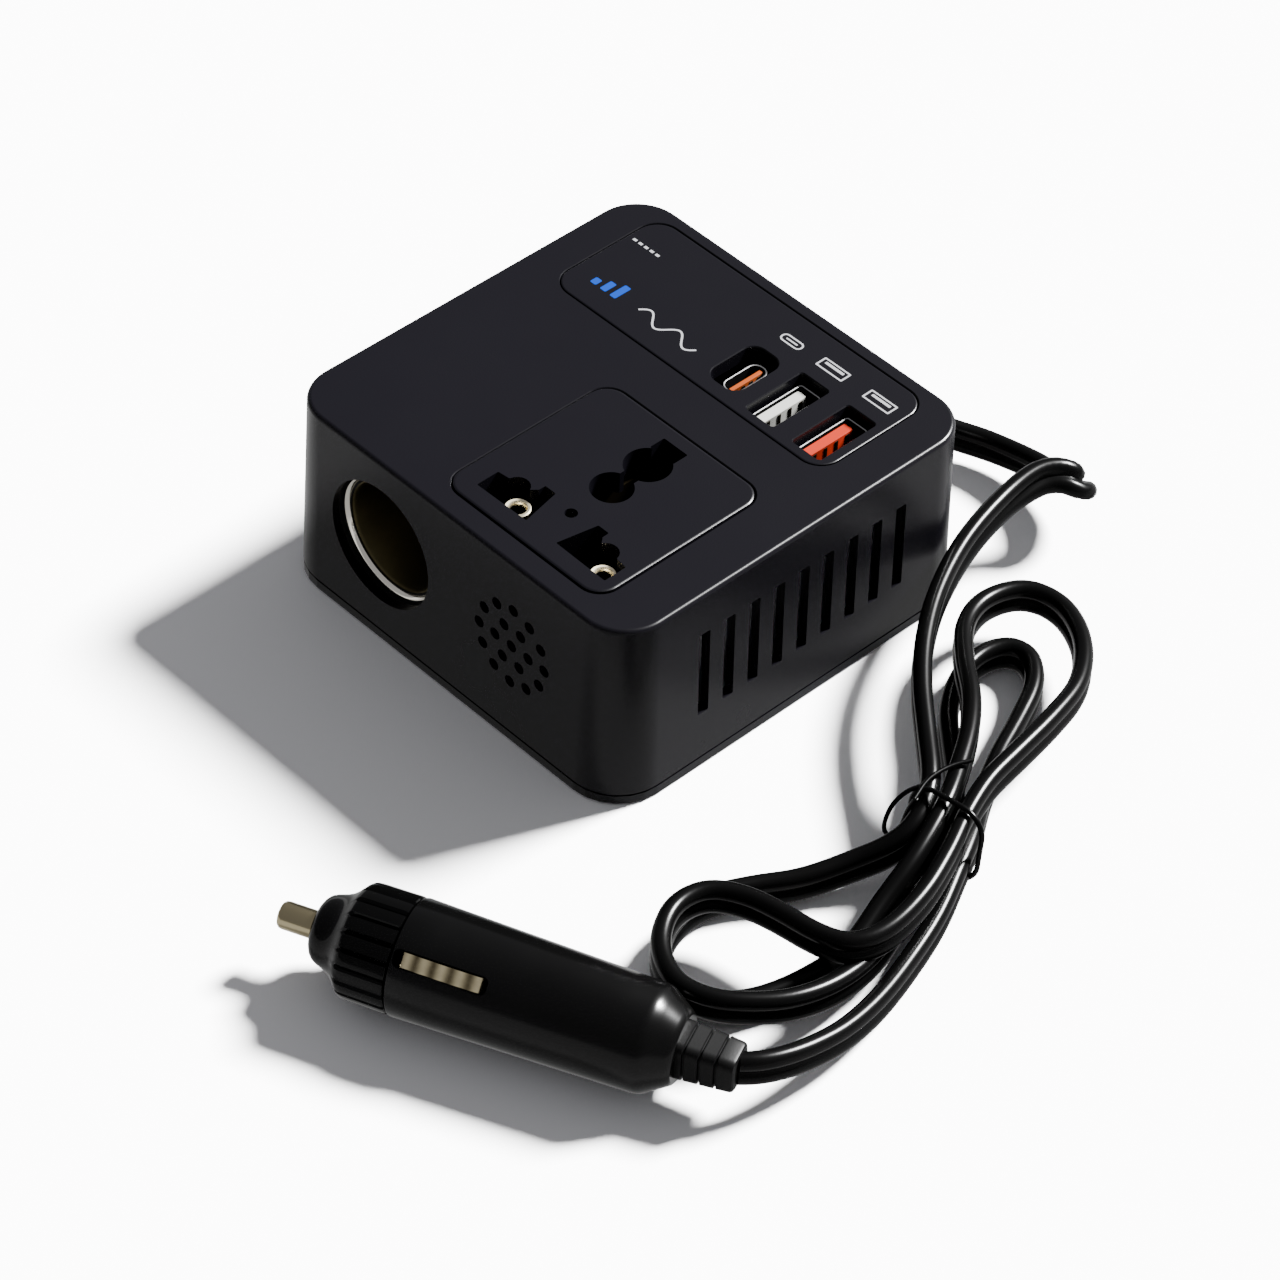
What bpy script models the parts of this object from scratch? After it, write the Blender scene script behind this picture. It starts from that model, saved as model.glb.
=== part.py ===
"""Car power inverter: a square box with a mains socket, USB ports, an accessory socket and a 12 V lead.

Lengths are in millimetres until an object is finished, where its mesh becomes metres.
The box stands on z = 0 with its middle at x = y = 0, and -Y is the face with the accessory socket.
"""

import math

import bmesh
import bpy
from mathutils import Matrix, Vector

MM = 0.001
GAP = 0.3

# Box
BOX_HALF = 45.0
BOX_HEIGHT = 41.4
DRAFT = 1.2
CORNER_R = 10.5
WALL = 2.0
EDGE_R = 0.8
BASE_TOP = 2.25
POST_AT = 36.8
POST_R = 2.8
SCREW_R = 1.3

# Mains socket insert on the top
AC_X = 12.5
AC_Y = -18.6
AC_HALF = 20.0
AC_CORNER_R = 4.2
AC_HOLES_X = 13.6
AC_PLATE_UNDER = 39.1
AC_FLANGE_UNDER = 36.9
CARRIER_TOP = 36.6
CARRIER_UNDER = 21.0

# USB panel on the top
USB_X = -0.35
USB_Y = 26.8
USB_HALF_X = 35.0
USB_HALF_Y = 13.8
USB_CORNER_R = 4.6
USB_C_X = 5.9
USB_C_Y = 22.6
USB_A_X = (17.1, 28.9)
USB_A_Y = 22.4
USB_BOARD_TOP = 25.0

# Accessory socket and ventilation grille on the front
SOCKET_X = -17.64
SOCKET_Z = 22.5
SOCKET_BORE_R = 10.5
SOCKET_HOLE_R = 12.9
SOCKET_FRONT_Y = -42.55
SOCKET_REAR_Y = -9.5
FAN_X = 17.16
FAN_Z = 22.7
FAN_FRONT_Y = -41.7
FAN_DEPTH = 5.8
GRILLE_HOLE_R = 1.2

# Vent slots on the right side
VENT_COUNT = 9
VENT_FIRST_Y = -23.76
VENT_PITCH = 6.093
VENT_WIDTH = 2.56
VENT_LOW = 13.3
VENT_HIGH = 32.3

# Inside
BOARD_UNDER = 5.0
BOARD_TOP = 6.6

# Lead: a flat twin cord 6.8 wide and 3.6 thick, drawn as a round tube
LEAD_TUBE_R = 2.3
LEAD_EXIT = (0.0, 45.4, 21.0)
HANK_TOP = 15.6
LEAD_ROUTE = (
    (0.0, 53.8, 21.0),
    (0.0, 58.0, 20.8),
    (1.2, 61.2, 17.2),
    (4.4, 62.8, 12.8),
    (9.4, 64.4, 9.2),
    (15.6, 66.6, 7.0),
    (22.6, 70.0, 5.9),
    (29.6, 73.0, 6.0),
    (36.7, 74.6, 7.2),
    (43.0, 75.2, 9.2),
    (47.4, 74.0, 11.8),
    (47.2, 70.2, 14.0),
    (44.8, 64.4, 15.0),
    (43.8, 54.7, 15.0),
    (46.8, 40.7, 15.0),
    (52.4, 27.3, 14.8),
    (59.2, 16.8, 13.9),
    (67.3, 9.9, 12.6),
    (75.75, 2.75, 11.8),
)
TAIL_ROUTE = (
    (106.3, -39.5, 4.9),
    (108.6, -46.6, 5.8),
    (110.6, -54.2, 7.2),
    (111.8, -61.4, 8.8),
    (111.9, -67.4, 9.9),
    (110.4, -72.1, 10.4),
    (106.6, -74.35, 10.5),
)

# Plug: s runs along its axis from the end of the tip
PLUG_TIP = (29.92, -108.39, 10.5)
PLUG_TURN = 23.94
PLUG_LENGTH = 83.6
CAP_FRONT_S = 7.0
COLLAR_FRONT_S = 14.6
CAP_REAR_S = 23.4
BARREL_REAR_S = 65.8
BOOT_FRONT_S = 70.0
BARREL_FRONT_R = 10.45
BARREL_REAR_R = 9.6
SIDE_CONTACT_TILT = 46.0


def clear_scene():
    """Remove every object that the file starts with."""
    for obj in list(bpy.data.objects):
        bpy.data.objects.remove(obj)


def material(name, colour, roughness, metallic=0.0):
    """A plain surface finish."""
    mat = bpy.data.materials.new(name)
    mat.use_nodes = True
    shader = mat.node_tree.nodes["Principled BSDF"]
    shader.inputs["Base Color"].default_value = (*colour, 1.0)
    shader.inputs["Roughness"].default_value = roughness
    shader.inputs["Metallic"].default_value = metallic
    return mat


def finish(name, bm, mat, parent=None):
    """Turn a millimetre mesh into a named object in metres."""
    bmesh.ops.remove_doubles(bm, verts=bm.verts, dist=1e-4)
    bmesh.ops.recalc_face_normals(bm, faces=bm.faces)
    bmesh.ops.scale(bm, vec=(MM, MM, MM), verts=bm.verts)
    mesh = bpy.data.meshes.new(name)
    bm.to_mesh(mesh)
    bm.free()
    mesh.shade_smooth()
    mesh.set_sharp_from_angle(angle=math.radians(35))
    if mat:
        mesh.materials.append(mat)
    obj = bpy.data.objects.new(name, mesh)
    bpy.context.scene.collection.objects.link(obj)
    obj.parent = parent
    return obj


def set_place(obj, place, turn=None):
    """Put an object's origin at a place in millimetres, and turn it."""
    obj.location = Vector(place) * MM
    if turn:
        obj.rotation_euler = turn
    return obj


def combine(obj, cutter, operation="DIFFERENCE"):
    """Cut one object with another, or join the other to it; the other one leaves the model."""
    cutter.hide_render = True
    cutter.display_type = "WIRE"
    modifier = obj.modifiers.new(cutter.name, "BOOLEAN")
    modifier.operation = operation
    modifier.object = cutter


def rounded_rect(half_x, half_y, radius, steps=5, centre=(0.0, 0.0)):
    """Points of a rectangle with round corners, counter-clockwise."""
    points = []
    corners = ((1, 1, 0.0), (-1, 1, 90.0), (-1, -1, 180.0), (1, -1, 270.0))
    for side_x, side_y, start in corners:
        for step in range(steps + 1):
            angle = math.radians(start + 90.0 * step / steps)
            x = side_x * (half_x - radius) + radius * math.cos(angle)
            y = side_y * (half_y - radius) + radius * math.sin(angle)
            points.append((centre[0] + x, centre[1] + y))
    return points


def arc_points(centre, radius, start, end, steps):
    """Points on an arc, angles in degrees."""
    points = []
    for step in range(steps + 1):
        angle = math.radians(start + (end - start) * step / steps)
        points.append((centre[0] + radius * math.cos(angle), centre[1] + radius * math.sin(angle)))
    return points


def add_stack(bm, levels):
    """A closed solid through outlines of equal length, each at its own z; both ends are capped."""
    rings = [[bm.verts.new((x, y, z)) for x, y in outline] for outline, z in levels]
    for low, high in zip(rings, rings[1:]):
        for index, vert in enumerate(low):
            after = (index + 1) % len(low)
            bm.faces.new((vert, low[after], high[after], high[index]))
    bm.faces.new(rings[0])
    bm.faces.new(rings[-1])


def add_box(bm, low, high, turn=None):
    """A block between two corners, turned about its own middle by an optional matrix."""
    size = [b - a for a, b in zip(low, high)]
    middle = [(a + b) / 2 for a, b in zip(low, high)]
    matrix = Matrix.Translation(middle) @ (turn or Matrix.Identity(4)) @ Matrix.Diagonal((*size, 1.0))
    return bmesh.ops.create_cube(bm, size=1.0, matrix=matrix)["verts"]


def add_cylinder(bm, centre, radius, length, axis="Z", segments=24):
    """A cylinder about its middle, along a world axis."""
    turns = {"Z": Matrix.Identity(4), "X": Matrix.Rotation(math.pi / 2, 4, "Y"),
             "Y": Matrix.Rotation(math.pi / 2, 4, "X")}
    matrix = Matrix.Translation(centre) @ turns[axis]
    bmesh.ops.create_cone(bm, cap_ends=True, segments=segments, radius1=radius, radius2=radius,
                          depth=length, matrix=matrix)


def add_turned(bm, profile, closed, segments=32, axis="X"):
    """A solid turned about the X axis, or Y or Z, from a profile of (distance along, radius) points."""
    verts = [bm.verts.new((along, radius, 0.0)) for along, radius in profile]
    pairs = list(zip(verts, verts[1:]))
    if closed:
        pairs.append((verts[-1], verts[0]))
    edges = [bm.edges.new(pair) for pair in pairs]
    bmesh.ops.spin(bm, geom=verts + edges, cent=(0, 0, 0), axis=(1, 0, 0), angle=math.tau,
                   steps=segments, use_merge=True)
    bmesh.ops.remove_doubles(bm, verts=bm.verts, dist=1e-4)
    if axis == "Y":
        bmesh.ops.rotate(bm, cent=(0, 0, 0), matrix=Matrix.Rotation(math.pi / 2, 3, "Z"), verts=bm.verts)
    if axis == "Z":
        bmesh.ops.rotate(bm, cent=(0, 0, 0), matrix=Matrix.Rotation(-math.pi / 2, 3, "Y"), verts=bm.verts)


def turned_object(name, profile, mat, place, closed=False, segments=32, axis="X", parent=None):
    """A turned solid as an object whose origin is on its own axis."""
    bm = bmesh.new()
    add_turned(bm, profile, closed, segments, axis)
    return set_place(finish(name, bm, mat, parent), place)


def box_object(name, low, high, mat, parent=None):
    """A plain block as an object."""
    bm = bmesh.new()
    add_box(bm, low, high)
    return finish(name, bm, mat, parent)


def stack_object(name, levels, mat, parent=None):
    """A stack of outlines as an object."""
    bm = bmesh.new()
    add_stack(bm, levels)
    return finish(name, bm, mat, parent)


def smooth_route(points, spacing):
    """Evenly spaced points on a smooth curve through a route's points."""
    route = [Vector(point) for point in points]
    route = [2 * route[0] - route[1]] + route + [2 * route[-1] - route[-2]]
    fine = []
    for before, start, end, after in zip(route, route[1:], route[2:], route[3:]):
        for step in range(20):
            t = step / 20
            lead_in = 2 * start + (end - before) * t
            square = (2 * before - 5 * start + 4 * end - after) * t * t
            cube = (3 * start - before - 3 * end + after) * t * t * t
            fine.append((lead_in + square + cube) / 2)
    fine.append(route[-2])
    travelled = [0.0]
    for start, end in zip(fine, fine[1:]):
        travelled.append(travelled[-1] + (end - start).length)
    count = max(2, round(travelled[-1] / spacing))
    spaced = []
    index = 0
    for step in range(count):
        target = travelled[-1] * step / count
        while travelled[index + 1] < target:
            index += 1
        share = (target - travelled[index]) / (travelled[index + 1] - travelled[index])
        spaced.append(fine[index].lerp(fine[index + 1], share))
    spaced.append(fine[-1])
    return spaced


def tube_object(name, points, radius, mat, resolution=2, cyclic=False):
    """A round tube along points, with flat ends."""
    curve = bpy.data.curves.new(name, "CURVE")
    curve.dimensions = "3D"
    curve.bevel_depth = radius * MM
    curve.bevel_resolution = resolution
    curve.use_fill_caps = not cyclic
    spline = curve.splines.new("POLY")
    spline.points.add(len(points) - 1)
    for target, point in zip(spline.points, points):
        target.co = (*(Vector(point) * MM), 1.0)
    spline.use_cyclic_u = cyclic
    curve.materials.append(mat)
    obj = bpy.data.objects.new(name, curve)
    bpy.context.scene.collection.objects.link(obj)
    return obj


def box_outline(inset, steps=6):
    """The box's outline, moved inwards by an inset."""
    return rounded_rect(BOX_HALF - inset, BOX_HALF - inset, CORNER_R - inset, steps)


def upper_shell(mat):
    """Five-sided housing with draft, a soft top edge and every opening."""
    low = BASE_TOP + GAP
    ceiling = BOX_HEIGHT - WALL
    levels = [(box_outline(DRAFT + WALL), ceiling), (box_outline(WALL), low), (box_outline(0.0), low),
              (box_outline(DRAFT - 0.03), BOX_HEIGHT - EDGE_R)]
    for step in range(1, 4):
        angle = math.radians(30 * step)
        inset = DRAFT + EDGE_R * (1 - math.cos(angle))
        levels.append((box_outline(inset), BOX_HEIGHT - EDGE_R * (1 - math.sin(angle))))
    shell = stack_object("upper_shell", levels, mat)
    posts = bmesh.new()
    for side_x in (-1, 1):
        for side_y in (-1, 1):
            add_cylinder(posts, (side_x * POST_AT, side_y * POST_AT, 23.0), POST_R, 35.0, segments=12)
    combine(shell, finish("shell_posts", posts, None), "UNION")
    combine(shell, shell_top_cutter())
    combine(shell, shell_side_cutter())
    return shell


def shell_top_cutter():
    """Openings through the top for the socket insert and the USB panel, and the post bores."""
    bm = bmesh.new()
    high = BOX_HEIGHT + 1.0
    low = BOX_HEIGHT - WALL - 1.5
    insert = rounded_rect(AC_HALF + GAP, AC_HALF + GAP, AC_CORNER_R + GAP, 4, (AC_X, AC_Y))
    add_stack(bm, [(insert, low), (insert, high)])
    panel = rounded_rect(USB_HALF_X + GAP, USB_HALF_Y + GAP, USB_CORNER_R + GAP, 4, (USB_X, USB_Y))
    add_stack(bm, [(panel, low), (panel, high)])
    for side_x in (-1, 1):
        for side_y in (-1, 1):
            add_cylinder(bm, (side_x * POST_AT, side_y * POST_AT, 9.0), SCREW_R + 0.3, 12.0, segments=10)
    return finish("shell_top_cutter", bm, None)


def shell_side_cutter():
    """Accessory socket hole, fan grille, vent slots and the lead's hole."""
    bm = bmesh.new()
    add_cylinder(bm, (SOCKET_X, -BOX_HALF, SOCKET_Z), SOCKET_HOLE_R, 8.0, "Y", 40)
    for x, z in grille_places():
        add_cylinder(bm, (x, -BOX_HALF, z), GRILLE_HOLE_R, 8.0, "Y", 8)
    for index in range(VENT_COUNT):
        y = VENT_FIRST_Y + VENT_PITCH * index
        add_box(bm, (BOX_HALF - 5, y - VENT_WIDTH / 2, VENT_LOW), (BOX_HALF + 1, y + VENT_WIDTH / 2, VENT_HIGH))
    add_cylinder(bm, (LEAD_EXIT[0], BOX_HALF, LEAD_EXIT[2]), 4.6, 8.0, "Y", 20)
    return finish("shell_side_cutter", bm, None)


def grille_places():
    """One hole in the middle, a ring of six and a ring of twelve."""
    places = [(FAN_X, FAN_Z)]
    for radius, count in ((4.3, 6), (8.4, 12)):
        for index in range(count):
            angle = math.tau * index / count
            places.append((FAN_X + radius * math.cos(angle), FAN_Z + radius * math.sin(angle)))
    return places


def base_cover(mat):
    """Floor plate with a raised locating rim and four counterbored screw holes."""
    rim_out = WALL + GAP
    rim_in = rim_out + 1.3
    levels = [(box_outline(0.5), 0.0), (box_outline(0.0), 0.5), (box_outline(0.0), BASE_TOP),
              (box_outline(rim_out), BASE_TOP), (box_outline(rim_out), 4.4), (box_outline(rim_in), 4.4),
              (box_outline(rim_in), 2.0)]
    cover = stack_object("base_cover", levels, mat)
    bm = bmesh.new()
    for side_x in (-1, 1):
        for side_y in (-1, 1):
            centre = (side_x * POST_AT, side_y * POST_AT)
            wide = arc_points(centre, 2.7, 0.0, 337.5, 15)
            narrow = arc_points(centre, SCREW_R + 0.35, 0.0, 337.5, 15)
            add_stack(bm, [(wide, -1.0), (wide, 1.3), (narrow, 1.3), (narrow, 3.5)])
    combine(cover, finish("base_cutter", bm, None))
    return cover


def base_screws(mat):
    """Four pan-head screws up into the shell's posts, each with a cross recess."""
    number = 0
    for side_x in (-1, 1):
        for side_y in (-1, 1):
            number += 1
            profile = [(0.15, 0.0), (0.15, 2.1), (0.45, 2.35), (1.0, 2.35), (1.0, SCREW_R), (11.0, SCREW_R),
                       (12.5, 0.4), (12.5, 0.0)]
            screw = turned_object(f"base_screw_{number}", profile, mat, (side_x * POST_AT, side_y * POST_AT, 0.0),
                                  segments=12, axis="Z")
            bm = bmesh.new()
            add_box(bm, (-1.4, -0.3, -0.2), (1.4, 0.3, 0.7))
            combine(screw, set_place(finish(f"screw_slot_{number}", bm, None),
                                     (side_x * POST_AT, side_y * POST_AT, 0.0)))


def live_slot(side):
    """Outline of a live or neutral slot: a flat blade, a round pin and an upright blade in one."""
    half = [(3.8, -34.6), (16.4, -34.9), (16.4, -30.1), (14.1, -29.7), (13.2, -28.4), (11.2, -27.7),
            (9.2, -28.3), (8.0, -28.0), (8.0, -26.1), (5.4, -26.1)]
    return [(AC_HOLES_X + side * u, v) for u, v in half]


def socket_plate(mat):
    """Insert with the universal socket's holes, held from below by a flange."""
    def outline(grow):
        return rounded_rect(AC_HALF + grow, AC_HALF + grow, AC_CORNER_R + grow, 4, (AC_X, AC_Y))
    levels = [(outline(1.2), AC_FLANGE_UNDER), (outline(1.2), AC_PLATE_UNDER), (outline(0.0), AC_PLATE_UNDER),
              (outline(0.0), BOX_HEIGHT - 0.2), (outline(-0.4), BOX_HEIGHT + 0.2)]
    plate = stack_object("socket_plate", levels, mat)
    combine(plate, socket_holes_cutter())
    for number, (x, y, radius) in enumerate(earth_circles()):
        bm = bmesh.new()
        add_cylinder(bm, (x, y, 40.0), radius, 10.0, segments=24)
        combine(plate, finish(f"earth_round_{number}", bm, None))
    return plate


def earth_circles():
    """The two round earth positions."""
    return ((13.5, -17.5, 4.1), (13.4, -8.9, 4.7))


def socket_holes_cutter():
    """Live and neutral slots, the earth blade and neck, and the screw hole."""
    bm = bmesh.new()
    for side in (-1, 1):
        outline = live_slot(side)
        add_stack(bm, [(outline, 35.0), (outline, 43.0)])
    add_box(bm, (10.4, -6.0, 35.0), (16.4, -1.7, 43.0))
    add_box(bm, (11.2, -16.0, 35.0), (15.8, -12.0, 43.0))
    add_cylinder(bm, (AC_HOLES_X, -27.4, 40.0), 1.25, 10.0, segments=12)
    return finish("socket_holes_cutter", bm, None)


def socket_carrier(mat):
    """Insulating block below the insert, with a pocket for each contact and a pilot hole."""
    low = (-4.7, -35.5, CARRIER_UNDER)
    high = (31.8, -0.4, CARRIER_TOP)
    carrier = box_object("socket_carrier", low, high, mat)
    bm = bmesh.new()
    for side in (-1, 1):
        near, far = AC_HOLES_X + side * 3.6, AC_HOLES_X + side * 16.8
        add_box(bm, (min(near, far), -35.0, 23.0), (max(near, far), -26.0, 38.0))
    add_box(bm, (8.6, -22.0, 23.0), (18.4, -1.6, 38.0))
    add_cylinder(bm, (AC_HOLES_X, -27.4, 32.0), 1.25, 14.0, segments=12)
    combine(carrier, finish("carrier_cutter", bm, None))


def socket_contacts(mat):
    """Sprung brass clips in the carrier: two for live and neutral, one for earth."""
    for name, side in (("neutral_contact", -1), ("live_contact", 1)):
        middle = AC_HOLES_X + side * 11.2
        bm = bmesh.new()
        profile = [(middle + dx, y) for dx, y in ((-2.9, -34.6), (2.9, -34.6), (2.9, -34.0), (-2.3, -34.0),
                                                 (-2.3, -27.0), (2.9, -27.0), (2.9, -26.4), (-2.9, -26.4))]
        add_stack(bm, [(profile, 23.4), (profile, 36.3)])
        finish(name, bm, mat)
    bm = bmesh.new()
    outline = [(9.0, -21.0), (9.6, -21.0), (9.6, -2.6), (17.4, -2.6), (17.4, -21.0), (18.0, -21.0),
               (18.0, -2.0), (9.0, -2.0)]
    add_stack(bm, [(outline, 23.4), (outline, 35.4)])
    finish("earth_contact", bm, mat)


def socket_screw(mat):
    """Small screw that holds the insert to its carrier, head below the face."""
    profile = [(28.0, 0.0), (28.5, 0.9), (36.0, 0.9), (39.4, 0.9), (39.4, 0.0)]
    turned_object("socket_screw", profile, mat, (AC_HOLES_X, -27.4, 0.0), segments=12, axis="Z")


def usb_panel(mat):
    """Rounded panel with one small and two long port openings, and a ledge at each end."""
    outline = rounded_rect(USB_HALF_X, USB_HALF_Y, USB_CORNER_R, 4, (USB_X, USB_Y))
    bevel = rounded_rect(USB_HALF_X - 0.2, USB_HALF_Y - 0.2, USB_CORNER_R - 0.2, 4, (USB_X, USB_Y))
    ledge = rounded_rect(USB_HALF_X + 1.8, USB_HALF_Y - 8.8, 1.5, 4, (USB_X, USB_Y))
    levels = [(outline, 38.4), (outline, BOX_HEIGHT - 0.2), (bevel, BOX_HEIGHT)]
    panel = stack_object("usb_panel", levels, mat)
    combine(panel, stack_object("panel_ledge", [(ledge, 37.2), (ledge, 39.1)], None), "UNION")
    bm = bmesh.new()
    pocket = rounded_rect(3.9, 6.3, 2.4, 3, (USB_C_X, USB_C_Y))
    add_stack(bm, [(pocket, 36.0), (pocket, 43.0)])
    for x in USB_A_X:
        opening = rounded_rect(3.55, 7.25, 0.5, 1, (x, USB_A_Y))
        add_stack(bm, [(opening, 36.0), (opening, 43.0)])
    combine(panel, finish("panel_cutter", bm, None))


def usb_ports(steel, tongue_c, tongues_a):
    """A steel can and a contact tongue for each port, standing on the port board."""
    low = USB_BOARD_TOP + GAP
    tongue_low = low + 1.6
    for name, x, y, half_x, half_y, radius, wall, steps in (
            ("usb_c_can", USB_C_X, USB_C_Y, 1.63, 4.5, 1.5, 0.25, 3),
            ("usb_a_can_1", USB_A_X[0], USB_A_Y, 2.95, 6.6, 0.5, 0.3, 1),
            ("usb_a_can_2", USB_A_X[1], USB_A_Y, 2.95, 6.6, 0.5, 0.3, 1)):
        outer = rounded_rect(half_x, half_y, radius, steps, (x, y))
        inner = rounded_rect(half_x - wall, half_y - wall, radius - wall, steps, (x, y))
        top = 40.2 if wall < 0.3 else 40.8
        stack_object(name, [(outer, low), (outer, top), (inner, top), (inner, low + 1.3)], steel)
    box_object("usb_c_tongue", (USB_C_X - 0.35, USB_C_Y - 3.3, tongue_low), (USB_C_X + 0.35, USB_C_Y + 3.3, 39.2),
               tongue_c)
    for number, (x, mat) in enumerate(zip(USB_A_X, tongues_a), 1):
        box_object(f"usb_a_tongue_{number}", (x - 1.9, USB_A_Y - 5.6, tongue_low), (x + 0.1, USB_A_Y + 5.6, 39.8), mat)


def accessory_socket(metal, plastic, brass):
    """Flanged metal sleeve in an insulating cup, with a sprung contact at the bottom."""
    depth = SOCKET_REAR_Y - SOCKET_FRONT_Y
    bore = SOCKET_BORE_R
    place = (SOCKET_X, SOCKET_FRONT_Y, SOCKET_Z)
    sleeve = [(0.35, bore), (0.0, bore + 0.5), (0.0, 12.3), (0.8, 12.3), (0.8, bore + 0.6), (depth, bore + 0.6),
              (depth, bore)]
    turned_object("socket_sleeve", sleeve, metal, place, True, 40, "Y")
    inner = bore + 0.6 + GAP
    cup = [(1.3, inner), (1.3, 12.3), (depth + 2.5, 12.3), (depth + 2.5, 2.0), (depth + 0.5, 2.0),
           (depth + 0.5, inner)]
    turned_object("socket_cup", cup, plastic, place, True, 32, "Y")
    contact = [(-5.0, 0.0), (-5.0, 1.8), (-4.4, 3.0), (-3.6, 3.0), (-3.6, 1.6), (5.6, 1.6), (5.6, 0.0)]
    turned_object("socket_centre_contact", contact, brass, (SOCKET_X, SOCKET_REAR_Y, SOCKET_Z), False, 20, "Y")


def coil_points(radius, length, turns, steps):
    """Centre line of a compression spring along +X."""
    points = []
    for step in range(turns * steps + 1):
        angle = math.tau * step / steps
        points.append((length * step / (turns * steps), radius * math.cos(angle), radius * math.sin(angle)))
    return points


def fan(frame_mat, rotor_mat):
    """Small axial fan behind the grille."""
    bm = bmesh.new()
    rear = FAN_FRONT_Y + FAN_DEPTH
    add_box(bm, (FAN_X - 10, FAN_FRONT_Y, FAN_Z - 10), (FAN_X + 10, rear, FAN_Z + 10))
    frame = finish("fan_frame", bm, frame_mat)
    bm = bmesh.new()
    add_cylinder(bm, (FAN_X, FAN_FRONT_Y + 1.0, FAN_Z), 9.3, 7.0, "Y", 32)
    combine(frame, finish("fan_bore", bm, None))
    bm = bmesh.new()
    for index in range(6):
        angle = math.tau * index / 6
        add_cylinder(bm, (FAN_X + 6.4 * math.cos(angle), rear, FAN_Z + 6.4 * math.sin(angle)), 2.4, 4.0, "Y", 12)
    combine(frame, finish("fan_outlets", bm, None))
    hub = [(0.0, 0.0), (0.0, 3.4), (0.4, 3.9), (3.6, 3.9), (3.6, 0.0)]
    place = (FAN_X, FAN_FRONT_Y + 0.4, FAN_Z)
    rotor = turned_object("fan_rotor", hub, rotor_mat, place, False, 20, "Y")
    bm = bmesh.new()
    for index in range(7):
        pitch = Matrix.Rotation(math.radians(38), 4, "X")
        new = add_box(bm, (3.4, 1.5, -1.9), (8.7, 2.1, 1.9), pitch)
        bmesh.ops.rotate(bm, cent=(0, 0, 0), matrix=Matrix.Rotation(math.tau * index / 7, 3, "Y"), verts=new)
    combine(rotor, set_place(finish("fan_blades", bm, None), place), "UNION")


def boards(mat):
    """Main board over the floor and the port board under the USB cans."""
    box_object("main_board", (-40.0, -31.0, BOARD_UNDER), (40.0, 31.0, BOARD_TOP), mat)
    box_object("usb_board", (-1.0, 13.5, USB_BOARD_TOP - 1.6), (34.5, 31.5, USB_BOARD_TOP), mat)


def power_parts(ferrite, copper, can_mat, epoxy, aluminium):
    """Transformer, choke, capacitors, switching transistors and their heat sink on the main board."""
    base = BOARD_TOP + GAP
    core = box_object("transformer_core", (-38.0, 0.0, base), (-16.0, 22.0, base + 16.0), ferrite)
    bm = bmesh.new()
    for low, high in (((-34.5, -1.0, base + 4.0), (-29.7, 23.0, base + 12.0)),
                      ((-24.3, -1.0, base + 4.0), (-19.5, 23.0, base + 12.0))):
        add_box(bm, low, high)
    combine(core, finish("core_windows", bm, None))
    bm = bmesh.new()
    outline = rounded_rect(7.1, 12.6, 1.2, 2, (-27.0, 11.0))
    add_stack(bm, [(outline, base + 4.3), (outline, base + 11.7)])
    coil = finish("transformer_winding", bm, copper)
    bm = bmesh.new()
    add_box(bm, (-29.7 - GAP, -GAP, base), (-24.3 + GAP, 22.0 + GAP, base + 16.0))
    combine(coil, finish("winding_hole", bm, None))
    choke = [(-3.4, 4.4), (-3.4, 8.6), (-2.4, 9.4), (2.4, 9.4), (3.4, 8.6), (3.4, 4.4)]
    turned_object("choke", choke, copper, (9.0, 15.0, base + 3.5), True, 20, "Z")
    for number, (x, y, radius, height) in enumerate(((-8.0, 6.0, 4.0, 12.0), (-8.0, 18.0, 4.0, 12.0),
                                                     (24.0, 12.0, 5.0, 14.0)), 1):
        profile = [(base, 0.0), (base, radius - 0.3), (base + 0.3, radius), (base + height - 0.5, radius),
                   (base + height, radius - 0.5), (base + height, 0.0)]
        turned_object(f"capacitor_{number}", profile, can_mat, (x, y, 0.0), False, 16, "Z")
    box_object("heat_sink", (36.6, -30.0, base), (38.4, 28.0, 30.0), aluminium)
    for number, y in enumerate((-24.0, -10.0, 4.0, 18.0), 1):
        box_object(f"transistor_{number}", (31.9, y - 5.0, base + 2.0), (36.3, y + 5.0, base + 13.0), epoxy)


def lead_gland(mat):
    """Strain relief: a lip inside the back wall, a flange outside it and a tapered sleeve."""
    profile = [(0.0, 1.6), (0.0, 5.6), (0.7, 5.6), (0.7, 4.2), (3.6, 4.2), (3.6, 5.8), (5.0, 5.6), (6.2, 4.6),
               (12.1, 3.3), (12.1, 1.6)]
    turned_object("lead_gland", profile, mat, (LEAD_EXIT[0], 41.3, LEAD_EXIT[2]), True, 20, "Y")


def hank_outline():
    """Plan of the tied bundle: two loops joined by the tied waist, with a flat where each run comes in."""
    upper = ((78.4, 5.0), (76.6, 8.2), (70.4, 14.9), (62.9, 20.6), (56.2, 28.4), (53.6, 37.6), (57.0, 46.4),
             (66.2, 48.9), (76.6, 44.0), (83.9, 34.8), (87.2, 24.2), (89.5, 12.3), (91.4, 2.6), (94.6, -4.6),
             (98.6, -11.8), (103.4, -21.2), (106.9, -30.5), (109.2, -38.2))
    lower = ((103.0, -40.2), (104.8, -47.6), (103.7, -59.0), (99.6, -66.8), (93.8, -71.8), (85.9, -72.6),
             (77.6, -67.9), (71.6, -59.2), (69.9, -49.0), (73.3, -40.7), (77.6, -32.8), (80.9, -24.3),
             (83.0, -18.2), (82.5, -13.5), (80.6, -9.0), (73.8, -0.2))
    points = []
    for part in (upper, lower):
        points += [tuple(point.xy) for point in smooth_route([(x, y, 0.0) for x, y in part], 4.5)]
    return points


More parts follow.
